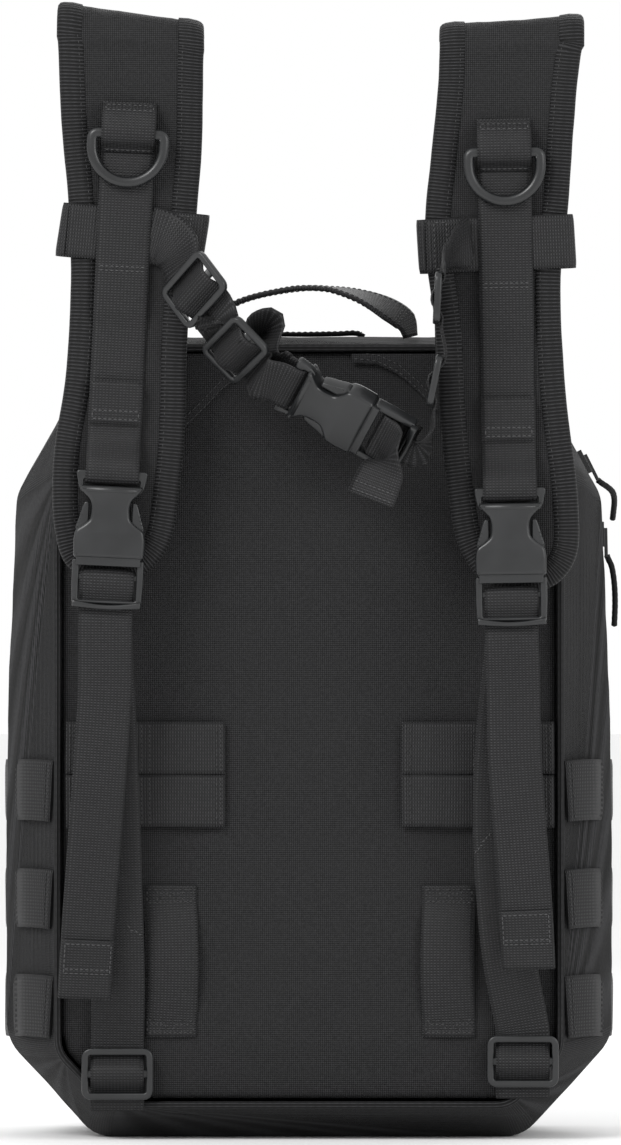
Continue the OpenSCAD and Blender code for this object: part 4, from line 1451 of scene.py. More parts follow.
def slab(name, at, outlines, y0, y1, bevel, body, material="plastic", replaces=()):
    """A moulded plate in a buckle's own frame, from outlines of x and z; the ones inside the first are holes."""
    curve = bpy.data.curves.new(name, "CURVE")
    curve.dimensions = "2D"
    curve.fill_mode = "BOTH"
    curve.extrude = max(0.01, (y1 - y0) / 2 - bevel)
    curve.bevel_depth = bevel
    curve.bevel_resolution = 2
    curve.offset = -bevel
    for outline in outlines:
        spline_data = curve.splines.new("POLY")
        spline_data.points.add(len(outline) - 1)
        for point, (x, z) in zip(spline_data.points, outline):
            point.co = (x, z, 0, 1)
        spline_data.use_cyclic_u = True
    source = bpy.data.objects.new(name, curve)
    bpy.context.collection.objects.link(source)
    graph = bpy.context.evaluated_depsgraph_get()
    graph.update()
    data = bpy.data.meshes.new_from_object(source.evaluated_get(graph))
    bpy.data.objects.remove(source)
    mid = (y0 + y1) / 2
    for vertex in data.vertices:
        q = vertex.co
        vertex.co = at(q.x, mid - q.z, q.y) * MM
    obj = bpy.data.objects.new(name, data)
    bpy.context.collection.objects.link(obj)
    bm = bmesh.new()
    bm.from_mesh(obj.data)
    bmesh.ops.remove_doubles(bm, verts=bm.verts, dist=0.000005)
    bmesh.ops.recalc_face_normals(bm, faces=bm.faces)
    bm.to_mesh(obj.data)
    bm.free()
    smooth_shade(obj)
    modifier = obj.modifiers.new("crisp", "EDGE_SPLIT")
    modifier.split_angle = math.radians(38)
    apply_modifiers(obj)
    return finish_piece(obj, material, body, replaces)


def rounded(corners, r, steps=4):
    """An outline with its corners rounded."""
    out = []
    n = len(corners)
    for i in range(n):
        a, b, c = (Vector(corners[(i + k) % n]) for k in (-1, 0, 1))
        u, v = (a - b), (c - b)
        cut = min(r, u.length * 0.45, v.length * 0.45)
        p, q = b + u.normalized() * cut, b + v.normalized() * cut
        for k in range(steps + 1):
            t = k / steps
            out.append(tuple(p * (1 - t) ** 2 + b * 2 * t * (1 - t) + q * t * t))
    return out


def mirrored(half):
    """An outline from its right half, given from the bottom up."""
    return half + [(-x, z) for x, z in reversed(half)]


def build_buckle(key):
    """The side release buckle: a waisted body with open sides, two sprung arms, and the plug's frame for the webbing."""
    at = STERNUM if key == "sternum" else LINES[key]
    holder, plug, arms = BUCKLES[key]
    female = "sternum_female" if key == "sternum" else f"buckle_female_{key}"
    male = "sternum_male" if key == "sternum" else f"buckle_male_{key}"
    body = rounded(
        mirrored([(16.6, 0.2), (16.9, 9.0), (16.2, 13.4), (12.2, 16.0), (9.4, 18.6), (8.9, 24.0), (9.6, 27.6), (12.6, 30.4), (14.6, 32.6), (14.8, 34.4)]),
        1.6
    )
    slab(female, at, [body], -5.5, 5.5, 1.7, holder, replaces=[female])
    slab(female + "_core", at, [rounded(mirrored([(15.6, -0.3), (15.6, 3.0)]), 0.8)], -4.6, 4.6, 0.6, holder)
    ears = rounded(mirrored([(14.0, 31.0), (15.6, 34.0), (16.9, 40.6), (16.0, 41.6)]), 1.0)
    eye = rounded(mirrored([(13.3, 33.6), (13.3, 37.2)])[::-1], 0.6)
    slab(female + "_loop", at, [ears, eye], -2.3, 2.3, 0.8, holder)
    for face in (-1, 1):
        y = face * 5.35
        tag = "front" if face < 0 else "back"
        rib(f"{female}_brow_{tag}", at, -12.0, 12.0, y, 31.2, 33.4, holder, proud=face * 0.5)
    frame_out = rounded(mirrored([(16.4, -21.5), (16.9, -12.0), (16.9, -0.4)]), 1.2)
    frame_eye = rounded(mirrored([(13.6, -19.6), (13.6, -2.6)])[::-1], 1.0)
    slab(male, at, [frame_out, frame_eye], -3.0, 3.0, 0.9, plug, replaces=[male])
    slab(male + "_collar", at, [rounded(mirrored([(15.2, -3.4), (15.2, 1.0)]), 0.6)], -4.4, 4.4, 0.5, plug)
    slab(male + "_bar", at, [rounded(mirrored([(14.4, -10.2), (14.4, -7.4)]), 0.6)], -1.7, 1.7, 0.6, plug)
    lip = [(x, -19.8 - 1.9 * math.cos(x / 16.4 * math.pi / 2)) for x in np.linspace(-16.2, 16.2, 17)]
    lip_out = lip + [
        (x, z - 3.2) for x,
        z in reversed([(x, -19.8 - 0.9 * math.cos(x / 16.4 * math.pi / 2)) for x in np.linspace(-16.2, 16.2, 17)])
    ]
    slab(male + "_lip", at, [lip_out], -5.6, -1.6, 0.9, plug)
    slab(male + "_prong", at, [rounded(mirrored([(2.4, -3.0), (2.4, 24.0)]), 0.8)], -2.8, 2.8, 0.5, plug)
    side = 1 if key in ("left", "sternum") else -1
    for k, (where, piece) in enumerate(arms.items()):
        sx = side if k == 0 else -side
        wedge = [
            (9.6, 0.6), (12.4, 0.6), (12.6, 10.0), (15.9, 12.8), (16.1, 15.0), (14.6, 19.5), (13.2, 24.5),
            (12.2, 26.8), (10.2, 26.8), (10.0, 14.0)
        ]
        outline = [(sx * x, z) for x, z in wedge]
        slab(piece, at, [rounded(outline if sx > 0 else outline[::-1], 0.9)], -3.2, 3.2, 0.8, piece, replaces=[piece])
        for j in range(4):
            z = 14.6 + j * 1.9
            x = 16.1 - j * 0.62
            rib(
                f"{piece}_grip_{j}", at, sx * (x - 1.4), sx * (x + 0.15), -2.9, z - 0.35, z + 0.35, piece,
                proud=-0.5, taper=0.2
            )


def build_triglide(name, centre, way, across, body, width=34.0, height=24.5, t=3.2):
    """A three-bar slide: rounded outer frame, and a middle bar with grip teeth."""
    centre, way, across = Vector(centre), Vector(way).normalized(), Vector(across)
    across = (across - way * across.dot(way)).normalized()
    up = across.cross(way)
    bm = bmesh.new()
    hw, hh = width / 2, height / 2
    bar = 2.0
    outline = lambda w, h, r, n=5: [(sx * (w - r) + r * math.cos(a), sz * (h - r) + r * math.sin(a))
                                    for sx, sz, a0 in ((1, 1, 0), (-1, 1, 90), (-1, -1, 180), (1, -1, 270))
                                    for a in [math.radians(a0 + 90 * k / n) for k in range(n + 1)]]
    outer = outline(hw, hh, 4.5)
    place = lambda x, y, z: centre + across * x + up * y - way * z

    def bar_tube(x0, z0, x1, z1, w, depth):
        """One bar of the slide, with softened edges."""
        d = Vector((x1 - x0, z1 - z0))
        d.normalize()
        side = Vector((-d.y, d.x))
        ring = []
        for e in ((x0, z0), (x1, z1)):
            row = []
            for k in range(16):
                a = 2 * math.pi * (k + 0.5) / 16
                c, s = math.cos(a), math.sin(a)
                k1 = math.copysign(abs(c) ** 0.45, c) * w / 2
                k2 = math.copysign(abs(s) ** 0.45, s) * depth / 2
                row.append(bm.verts.new(place(e[0] + side.x * k1, k2, e[1] + side.y * k1)))
            ring.append(row)
        for k in range(16):
            j = (k + 1) % 16
            bm.faces.new((ring[0][k], ring[0][j], ring[1][j], ring[1][k]))
        bm.faces.new(ring[0])
        bm.faces.new(ring[1][::-1])

    path = outer
    n = len(path)
    rows = []
    rim = 3.3
    for i in range(n):
        a, b, c = (Vector(path[(i + k) % n]) for k in (-1, 0, 1))
        d = (c - a).normalized()
        inward = Vector((-d.y, d.x))
        row = []
        for k in range(16):
            ang = 2 * math.pi * (k + 0.5) / 16
            cs, sn = math.cos(ang), math.sin(ang)
            k1 = math.copysign(abs(cs) ** 0.5, cs) * rim / 2
            k2 = math.copysign(abs(sn) ** 0.5, sn) * t / 2
            q = b + inward * (rim / 2 + k1)
            row.append(bm.verts.new(place(q.x, k2, q.y)))
        rows.append(row)
    for i in range(n):
        for k in range(16):
            j, m = (k + 1) % 16, (i + 1) % n
            bm.faces.new((rows[i][k], rows[i][j], rows[m][j], rows[m][k]))
    bar_tube(-hw + 2, 0, hw - 2, 0, 2 * bar, t * 0.94)
    for x in np.linspace(-11, 11, 12):
        bar_tube(x, -1.7, x, 1.7, 0.8, t * 1.12)
    bmesh.ops.recalc_face_normals(bm, faces=bm.faces)
    bm.transform(Matrix.Scale(MM, 4))
    data = bpy.data.meshes.new(name)
    bm.to_mesh(data)
    bm.free()
    obj = bpy.data.objects.new(name, data)
    bpy.context.collection.objects.link(obj)
    smooth_shade(obj)
    return finish_piece(obj, "plastic", body)


# ---------------------------------------------------------------- lower straps and their tails
GLIDE_Y = PANEL_Y - 5.8
LOW_GLIDE = {"left": (-91, GLIDE_Y, 31.5), "right": (101.5, GLIDE_Y, 37.5)}
FRAME_H = 23


def weave_through(centre, along, up):
    """The webbing's way through a slide."""
    steps = (
        (2.6, 14), (2.5, 9.0), (0.2, 5.4), (-2.5, 2.2), (-2.6, 0), (-2.5, -2.2), (0.2, -5.4), (2.5, -9.0),
        (2.6, -14)
    )
    return [Vector(centre) + Vector(up) * n + Vector(along) * d for n, d in steps]


def build_lower_strap(side):
    """From round the male buckle's bar, down through the slide to the bottom seam. It bends as the buckle is pulled out."""
    at, plug = LINES[side], f"buckle_plug_{side}"
    x, y, z = LOW_GLIDE[side]
    build_triglide(f"lower_triglide_{side}", (x, y, z), (0, 0, -1), (1, 0, 0), "pack")
    bow = {
        "left": [(-94.0, -71, 190), (-92.0, -67.5, 130), (-90.6, -64.5, 80)],
        "right": [(91.5, -71, 190), (90.4, -67.5, 147), (94.5, -64.5, 90)]
    }[side]
    top = [at(0, 3.0, -FRAME_H + 1.5), at(0, 3.4, -FRAME_H - 8)]
    path = top + [Vector(q) for q in bow] + weave_through((x, y, z), (0, 0, 1), (0, 1, 0)) + [Vector((x, PANEL_Y - 2.4, z - 17.5))]
    web = Web(f"lower_strap_{side}", path, [(1, 0, 0)] * len(path), t=1.5, wave=0.3)
    start, end = Vector((x, y, z + 22)) * MM, top[1] * MM
    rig.blend(web.obj, "pack", plug, start, end)
    sign = 1 if web.up[5].y < 0 else -1
    hem_z = {"left": (101, 96), "right": (147, 138)}[side]
    inner = 1 if side == "left" else -1
    if web.across[5].x < 0:
        inner = -inner
    s0 = web.s[int(np.argmin([abs(c.z - hem_z[0]) for c in web.centre]))]
    lines = [web.line(s0, inner * 0.35, s0 + (hem_z[0] - hem_z[1]), inner * 0.95, sign)]
    obj = sew(f"lower_strap_{side}_stitches", lines, None, "thread_pale", pitch=2.2)
    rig.blend(obj, "pack", plug, start, end)
    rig.replaces(web.obj, f"lower_strap_{side}", "lower_triglides")


def build_tail(side):
    """The free tail: round the male buckle's middle bar, then hanging in front of the lower strap to its folded tab."""
    at, plug = LINES[side], f"buckle_plug_{side}"
    ends = {"left": [(-96.4, -88.5, 215), (-98.6, -87, 180), (-101.5, -83.5, 140), (-104.2, -79.5, 104), (-106.5, -76, 68)],
            "right": [(96.6, -88.5, 212), (97.2, -87, 182), (99.6, -84, 148), (102.4, -80.5, 112), (104, -78, 82)]}[side]
    turn = [
        (3.1, -FRAME_H + 0.5), (3.1, -16), (2.7, -10.2), (1.7, -6.7), (0, -5.9), (-1.8, -6.7), (-2.7, -9.6),
        (-2.4, -14), (-0.9, -19), (-0.7, -23.5), (-1.6, -30)
    ]
    path = [at(0, y, z) for y, z in turn] + [Vector(q) for q in ends]
    tilt = {"left": 0.06, "right": -0.03}[side]
    across = [at.x] * len(turn) + [Vector((1, 0.05 * k * (1 if side == "left" else -1), tilt)) for k in range(len(ends))]
    web = Web(f"strap_tail_{side}", path, across, t=1.4, wave=0.55, bow=0.3)
    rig.ride(web.obj, plug)
    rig.replaces(web.obj, f"strap_tail_{side}")
    sign = 1 if web.up[-8].y < 0 else -1
    last = len(web.centre) - 1
    first = web.row(web.s[-1] - 27)
    tab = [web.place(i, 0.0, sign) + web.up[i] * sign * 0.75 for i in range(first, last + 1)]
    hem = Web(
        f"strap_tail_{side}_tab", tab, [web.across[i] for i in range(first, last + 1)], w=WEB_W - 0.3, t=1.35,
        wave=0.12, body=plug
    )
    s = 1 if hem.up[2].y < 0 else -1
    lines = [hem.line(k, -0.88, k, 0.88, s) for k in (1.6, 13.0, 15.4)] + [hem.line(1.6, k, 15.4, k, s) for k in (-0.88, 0.88)]
    sew(f"strap_tail_{side}_stitches", lines, plug, "thread_pale", pitch=2.3)


# ---------------------------------------------------------------- sternum strap
GLIDES = [
    [(-54, -100, 403), (0.57, -0.25, -0.76), (0.53, -0.57, 0.63)],
    [(-34.6, -102.5, 374.6), (0.69, 0, -0.72), (0.45, -0.68, 0.45)],
    [(59, -103.5, 360), (-0.2, 0, -0.98), (0, -1, 0)],
    [(60.5, -104, 399), (-0.05, 0, -1), (0, -1, 0)],
]


def glide_frame(k):
    centre, way, across = (Vector(v) for v in GLIDES[k])
    way.normalize()
    across = (across - way * across.dot(way)).normalized()
    return centre, way, across, across.cross(way)


def build_sternum_loop(side):
    """The band that holds the sternum strap on the padded strap, pulled a little askew by it."""
    name = f"sternum_loop_{side}"
    low, high = node_box(name)
    z = (low.z + high.z) / 2
    tilt = {"left": -9.0, "right": 4.0}[side]
    x0, x1 = low.x + 0.2, high.x - 0.2
    y0, y1 = low.y + 0.3, high.y - 0.3
    mid = (x0 + x1) / 2
    ring = [(x0 + 3, y0 - 0.2), (mid, y0 - 0.7), (x1 - 3, y0 - 0.2), (x1 + 0.1, y0 + 2.2), (x1 + 0.3, (y0 + y1) / 2), (x1 + 0.1, y1 - 2.2),
            (x1 - 3, y1 + 0.2), (mid, y1 + 0.5), (x0 + 3, y1 + 0.2), (x0 - 0.1, y1 - 2.2), (x0 - 0.3, (y0 + y1) / 2), (x0 - 0.1, y0 + 2.2), (x0 + 3, y0 - 0.2)]
    lean = math.tan(math.radians(tilt))
    path = [(x, y, z + (x - mid) * lean * 0.55) for x, y in ring]
    up = Vector((-lean, 0, 1)).normalized()
    web = Web(name, path, [up] * len(path), body="sternum_strap", replaces=[name], t=1.4, wave=0.25)
    sign = 1 if web.up[6].y < 0 else -1
    s = {"left": (54, 60), "right": (6, 12)}[side]
    lines = web.box(s[0] - 2, s[1] - 2, 0.86, sign)
    sew(name + "_stitches", lines, "sternum_strap", "thread_pale", pitch=2.3)


def build_sternum():
    """The sternum strap as it hangs between the padded straps: twisted webbing, four slides and the buckle."""
    body = "sternum_strap"
    at = STERNUM
    for k in range(4):
        centre, way, across, up = glide_frame(k)
        build_triglide(f"sternum_triglide_{k + 1}", centre, way, across, body)
    c0, w0, a0, u0 = glide_frame(0)
    c1, w1, a1, u1 = glide_frame(1)
    run = [
        (Vector((-76, -87.0, 430)), Vector((0.35, 0, 0.94))),
        (Vector((-68, -87.8, 427.5)), Vector((0.45, -0.05, 0.9))),
        (Vector((-62, -91.5, 421)), Vector((0.6, -0.3, 0.75)))
    ]
    run += [(q, a0) for q in weave_through(c0, -w0, u0)]
    run += [(c0 + w0 * 20 + u0 * 1.5, (a0 + a1) / 2)]
    run += [(q, a1) for q in weave_through(c1, -w1, u1)]
    run += [
        (at(-1.5, -4.2, 53), at.x + a1 * 0.3), (at(0, -3.5, 46), at.x), (at(0, -3.0, 39.5), at.x),
        (at(0, -2.0, 36.2), at.x), (at(0, 0, 35.2), at.x), (at(0, 2.0, 36.2), at.x), (at(0, 3.3, 41), at.x),
        (at(0, 4.0, 48), at.x)
    ]
    web = Web(
        "sternum_web_left", [q for q, a in run], [a for q, a in run], body=body,
        replaces=["sternum_web_left", "sternum_triglides"], t=1.35, wave=0.3
    )
    back = [
        (at(1, 4.0, 47), at.x), (at(2.5, 5.4, 54), at.x + Vector((0, -0.25, 0.1))),
        (c1 + u1 * 5 + Vector((13, 0, 9)), a1 + Vector((0.1, -0.3, 0.2))),
        (c1 + u1 * 4 + Vector((4, 0, 9)), a1), (c1 + u1 * 3.4 - w1 * 3, a1)
    ]
    Web("sternum_web_left_return", [q for q, a in back], [a for q, a in back], body=body, t=1.3, wave=0.2)

    c2, w2, a2, u2 = glide_frame(2)
    c3, w3, a3, u3 = glide_frame(3)
    start = [
        (Vector((77, -87.2, 426)), Vector((0, 0, 1))),
        (Vector((70, -93.6, 423.5)), Vector((0.1, -0.45, 0.85))),
        (Vector((63.5, -100, 417)), Vector((0.1, -0.9, 0.4)))
    ]
    start += [(q, a3) for q in weave_through(c3, -w3, u3)]
    start += [(q, a2) for q in weave_through(c2, -w2, u2)]
    start += [
        (Vector((57.5, -102, 337)), Vector((0.15, -0.9, 0.35))), (at(0, 3.7, -FRAME_H - 4), at.x),
        (at(0, 3.3, -FRAME_H + 2), at.x), (at(0, 2.9, -14), at.x)
    ]
    web = Web("sternum_web_right", [q for q, a in start], [a for q, a in start], t=1.35, wave=0.25)
    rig.blend(web.obj, body, "sternum_plug", c2 * MM, at(0, 3.6, -FRAME_H - 3) * MM)
    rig.replaces(web.obj, "sternum_web_right")

    turn = [
        (2.9, -18), (3.0, -13), (2.6, -9.4), (1.6, -6.6), (0, -5.9), (-1.9, -6.7), (-2.7, -10.5), (-3.2, -14),
        (-5.8, -16.6), (-8.8, -18)
    ]
    down = Vector((-0.38, -0.05, -0.92))
    broad = Vector((0.86, -0.45, -0.2))
    edge = at(0, -11, -17)
    tail = [(at(0, y, z), at.x) for y, z in turn] + [
        (edge + down * 3, at.x * 0.6 + broad * 0.4), (edge + down * 9, at.x * 0.2 + broad * 0.8),
        (edge + down * 16, broad), (edge + down * 23, broad)
    ]
    web = Web(
        "sternum_tail", [q for q, a in tail], [a for q, a in tail], body="sternum_plug",
        replaces=["sternum_tail"], t=1.4, wave=0.3
    )
    end = web.s[-1]
    sew(
        "sternum_tail_stitches",
        [web.line(end - k, -0.88, end - k, 0.88, s) for k in (1.8, 6.5) for s in (-1, 1)], "sternum_plug",
        "thread_pale", pitch=2.3
    )


# ---------------------------------------------------------------- zips, lid and front pocket
def band(
    name, loop, y0, y1, material, body, replaces=(), out=0.0, keep=None, soft=0.0, thickness=1.4, seed=1.0,
    steps=None
):
    """Cloth that runs round an outline between two depths. Keep leaves out the part for which it is false."""
    counts = [max(1, int((Vector(loop[(i + 1) % len(loop)]) - Vector(loop[i])).length / 3.5)) for i in range(len(loop))]
    ring0 = matched(offset_loop(loop, out), counts)
    count = steps or max(1, int((y1 - y0) / 2.6))
    rings = []
    for r in range(count + 1):
        f = r / count
        y = y0 + (y1 - y0) * f
        ring = []
        for x, z in ring0:
            k = soft * (fuzz((x, y, z), 24.0, seed) + 0.4 * fuzz((x, y, z), 10.0, seed + 1) + 0.5) * math.sin(math.pi * f)
            d = Vector((x, z - 190)).normalized()
            ring.append((x + d.x * k, y, max(0.1, z + d.y * k) if z < 12 else z + d.y * k))
        rings.append(ring)
    obj = lofted(name, rings, 1.0)
    if keep:
        bm = bmesh.new()
        bm.from_mesh(obj.data)
        gone = [f for f in bm.faces if not keep(f.calc_center_median() / MM)]
        bmesh.ops.delete(bm, geom=gone, context="FACES")
        bm.to_mesh(obj.data)
        bm.free()
    recalc(obj)
    add_thickness(obj, thickness)
    smooth_shade(obj)
    return finish_piece(obj, material, body, replaces)


def build_teeth(name, loop, y, body, keep, phase):
    """A coil of zip teeth along one tape."""
    path = [q for q in even([Vector((x, 0, z)) for x, z in loop + loop[:1]], 1.3)]
    n = len(path)
    points, faces = [], []
    for i in range(n):
        c = path[i]
        if not keep(c):
            continue
        d = (path[(i + 1) % n] - path[i - 1]).normalized()
        out = Vector((d.z, 0, -d.x))
        base = len(points)
        for a in (-0.36, 0.36):
            for b, e in ((-1.5, -0.5), (-0.2, -0.75), (1.3, -0.6), (1.3, 0.6), (-0.2, 0.75), (-1.5, 0.5)):
                points.append(c + d * (a + phase * 0.65) + out * (0.9 + e) + Vector((0, y + b * (1 if phase else -1), 0)))
        for k in range(6):
            faces.append((base + k, base + (k + 1) % 6, base + 6 + (k + 1) % 6, base + 6 + k))
        faces.append(tuple(base + k for k in range(6))[::-1])
        faces.append(tuple(base + 6 + k for k in range(6)))
    obj = new_object(name, points, faces, smooth=False)
    recalc(obj)
    return finish_piece(obj, "coil", body)


ZIP_START_Z = 52
HINGE_TOP_Z = 4


def build_zips():
    above = lambda c: c.z > ZIP_START_Z
    mid = SHELL_Y + 3
    band(
        "rear_zip_tape", pack_loop, SHELL_Y - 0.4, mid - 0.5, "band", "pack", ["rear_zip_tape"], out=-0.6,
        keep=above, thickness=0.8, steps=2
    )
    band(
        "lid_zip_tape", pack_loop, mid + 0.5, LID_Y + 0.4, "band", "lid", ["lid_zip_tape"], out=-0.6,
        keep=above, thickness=0.8, steps=2
    )
    build_teeth("rear_zip_teeth", offset_loop(pack_loop, -1.6), mid - 1.0, "pack", above, 0)
    build_teeth("lid_zip_teeth", offset_loop(pack_loop, -1.6), mid + 1.0, "lid", above, 1)
    low = LID_FRONT_Y
    band(
        "pocket_zip_lid", pocket_loop, low + 0.1, low + 1.7, "band", "lid", ["pocket_zip_lid"], out=-0.6,
        keep=above, thickness=0.8, steps=1
    )
    band(
        "pocket_zip_flap", pocket_loop, low + 2.3, low + 4.2, "band", "pocket_flap", ["pocket_zip_flap"],
        out=-0.6, keep=above, thickness=0.8, steps=1
    )
    build_teeth("pocket_zip_lid_teeth", offset_loop(pocket_loop, -1.6), low + 1.2, "lid", above, 0)
    build_teeth("pocket_zip_flap_teeth", offset_loop(pocket_loop, -1.6), low + 2.8, "pocket_flap", above, 1)
    corner = lambda c: HINGE_TOP_Z - 1 < c.z < ZIP_START_Z + 1.5
    band(
        "rear_corner_facing", pack_loop, SHELL_Y - 1.0, mid - 0.3, "band", "pack", out=-0.7, keep=corner,
        thickness=0.8, steps=2
    )
    band(
        "lid_corner_facing", pack_loop, mid + 0.3, LID_Y + 1.0, "band", "lid", out=-0.7, keep=corner,
        thickness=0.8, steps=2
    )
    band(
        "pocket_corner_facing_lid", pocket_loop, low - 0.8, low + 1.8, "band", "lid", out=-0.7,
        keep=lambda c: 14 < c.z < ZIP_START_Z + 1.5, thickness=0.8, steps=1
    )
    band(
        "pocket_corner_facing_flap", pocket_loop, low + 2.2, low + 4.8, "band", "pocket_flap", out=-0.7,
        keep=lambda c: 14 < c.z < ZIP_START_Z + 1.5, thickness=0.8, steps=1
    )
    below = lambda c: c.z < HINGE_TOP_Z
    hinge = band(
        "lid_hinge_cloth", pack_loop, SHELL_Y - 1.0, LID_Y + 1.0, "cordura", None, out=-0.5, keep=below,
        thickness=1.0, steps=8
    )
    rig.blend(hinge, "pack", "lid", Vector((0, SHELL_Y, 1)) * MM, Vector((0, LID_Y, 1)) * MM)
    hinge = band(
        "pocket_hinge_cloth", pocket_loop, low - 0.8, low + 4.8, "cordura", None, out=-0.5,
        keep=lambda c: c.z < 15, thickness=0.9, steps=5
    )
    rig.blend(hinge, "lid", "pocket_flap", Vector((0, low, 12)) * MM, Vector((0, low + 4, 12)) * MM)


def face_plate(name, loop, y, thickness, side, body, material, replaces, bulge, seed, cell=4.2):
    """A cloth-covered face that swells a little between its seams. Side +1 faces the pocket side."""
    obj = solid_from_loop(name, loop, y, y + thickness)
    remesh(obj, min(cell, thickness * 0.8))
    points = read_points(obj)
    outer = y + thickness / 2
    for i, p in enumerate(points):
        d = distance_to_loop(loop, p[0], p[2])
        swell = bulge * (1 - math.exp(-d / 22)) + 0.7 * fuzz((p[0], 0, p[2]), 38.0, seed) * min(1, d / 12)
        if (p[1] - outer) * side > 0:
            points[i][1] += side * swell
    write_points(obj, points)
    smooth_shade(obj)
    cloth_uv(obj)
    return finish_piece(obj, material, body, replaces)


def build_lid_and_pocket():
    band("lid_gusset", pack_loop, LID_Y, LID_FRONT_Y - 0.6, "cordura", "lid", ["lid_gusset"], soft=1.3, seed=3.0)
    low, high = node_box("lid_panel")
    plate_loop = offset_loop(pack_loop, -0.9)
    obj = face_plate("lid_panel", plate_loop, low.y, high.y - low.y, 1, "lid", "cordura", ["lid_panel"], 0.5, 2.0)
    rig.padded(obj, 0.5)
    band(
        "flap_gusset", pocket_loop, FLAP_Y, FRONT_Y - 1.2, "cordura", "pocket_flap", ["flap_gusset"],
        soft=1.5, seed=6.0
    )
    low, high = node_box("flap_panel")
    obj = face_plate(
        "flap_panel", offset_loop(pocket_loop, -0.5), low.y, high.y - low.y, 1, "pocket_flap", "cordura",
        ["flap_panel"], 0.0, 7.0
    )
    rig.padded(obj, 0.4)
    piped_edge("lid_edge_binding", offset_loop(pack_loop, -0.6), LID_FRONT_Y - 0.4, "lid")
    piped_edge("flap_edge_binding", offset_loop(pocket_loop, -0.4), FRONT_Y - 0.8, "pocket_flap")
    parts, lines = [], []
    low, high = node_box("front_molle")
    for row in range(4):
        z = low.z + WEB_W / 2 + row * 38
        y = high.y - 0.8
        xs = even([Vector((low.x - 6, 0, 0)), Vector((high.x + 6, 0, 0))], 3)
        sewn = [low.x - 4 + k * (high.x - low.x + 8) / 5 for k in range(6)]
        path = [(q.x, y + min(1.0, min(abs(q.x - s) for s in sewn) / 8) * 1.1, z + 0.3 * fuzz((q.x, 0, z), 25.0, 8.0)) for q in xs]
        web = Web(f"f{row}", path, [(0, 0, 1)] * len(path), t=1.6, wave=0.2)
        parts.append(web.obj)
        sign = 1 if web.up[3].y > 0 else -1
        for x in sewn:
            for d in (-1.4, 1.4):
                s = max(1.0, min(web.s[-1] - 1.0, x - (low.x - 6) + d))
                lines.append(web.line(s, -0.92, s, 0.92, sign))
    join("front_molle", parts, "webbing", "pocket_flap", ["front_molle"])
    sew("front_molle_stitches", lines, "pocket_flap", pitch=2.3)
    low, high = node_box("patch_field")
    loop = [(low.x, low.z), (high.x, low.z), (high.x, high.z), (low.x, high.z)]
    obj = solid_from_loop("patch_field", loop, high.y - 1.6, high.y)
    remesh(obj, 1.2)
    wrinkle(obj, 0.22, 3.0, sharp=False, seed=9.0)
    smooth_shade(obj)
    cloth_uv(obj)
    finish_piece(obj, "pile", "pocket_flap", ["patch_field"])


def piped_edge(name, loop, y, body):
    """A bound seam that runs round an outline."""
    path = spline([(x, y, z) for x, z in matched(loop, [4] * len(loop))], 3.0, closed=True)
    n = len(path)
    rings = []
    for k in range(8):
        a = 2 * math.pi * k / 8
        ring = []
        for i in range(n):
            d = (path[(i + 1) % n] - path[i - 1]).normalized()
            side = Vector((d.z, 0, -d.x))
            ring.append(path[i] + side * (1.3 * math.cos(a)) + Vector((0, 1, 0)) * (1.5 * math.sin(a)))
            ring[-1].z = max(0.1, ring[-1].z)
        rings.append(ring)
    rings.append(rings[0])
    obj = lofted(name, rings, 1.0)
    recalc(obj)
    return finish_piece(obj, "binding", body)


# ---------------------------------------------------------------- inside the pack
def build_inside():
    """What shows when the lid is down: the stiff sheet, the hydration sleeve, the elastic loops and the mesh pocket."""
    dress_cad("frame_sheet", 0.3, "sheet", segments=2)
    low, high = node_box("hydration_sleeve")
    loop = [(low.x, low.z), (high.x, low.z), (high.x, high.z), (low.x, high.z)]
    obj = solid_from_loop("hydration_sleeve", loop, low.y + 0.3, high.y - 0.5)
    remesh(obj, 1.9)
    points = read_points(obj)
    for i, p in enumerate(points):
        inside = min(p[0] - low.x, high.x - p[0], p[2] - low.z)
        points[i][1] += 0.45 * fuzz((p[0], 0, p[2]), 30.0, 5.0) * min(1, max(0, inside) / 10) * (1 if p[1] > low.y + 1 else 0)
    write_points(obj, points)
    smooth_shade(obj)
    cloth_uv(obj)
    finish_piece(obj, "lining", "pack", ["hydration_sleeve"])
    y = high.y - 0.1
    Web("sleeve_top_binding", [(low.x, y - 1, high.z - 4), ((low.x + high.x) / 2, y - 1, high.z - 4.3), (high.x, y - 1, high.z - 4)],
              [(0, 0, 1)] * 3, body="pack", w=11, t=2.6, material="binding")
    low, high = node_box("elastic_loops")
    parts, lines = [], []
    for z in (90, 170, 250):
        z += WEB_W / 2
        sewn = [low.x + k * (high.x - low.x) / 6 for k in range(7)]
        xs = even([Vector((low.x, 0, 0)), Vector((high.x, 0, 0))], 2.5)
        path = [(q.x, low.y + 1.0 + 2.2 * min(1.0, min(abs(q.x - s) for s in sewn) / 8), z) for q in xs]
        web = Web(f"e{z:.0f}", path, [(0, 0, 1)] * len(path), t=1.3, wave=0.2)
        parts.append(web.obj)
        sign = 1 if web.up[3].y > 0 else -1
        for x in sewn:
            s = max(1.0, min(web.s[-1] - 1.0, (x - low.x) * web.s[-1] / (high.x - low.x)))
            lines.append(web.line(s, -0.9, s, 0.9, sign))
    join("elastic_loops", parts, "webbing", "pack", ["elastic_loops"])
    sew("elastic_loop_stitches", lines, "pack", "thread_pale", pitch=2.3)
    build_mesh_pocket()


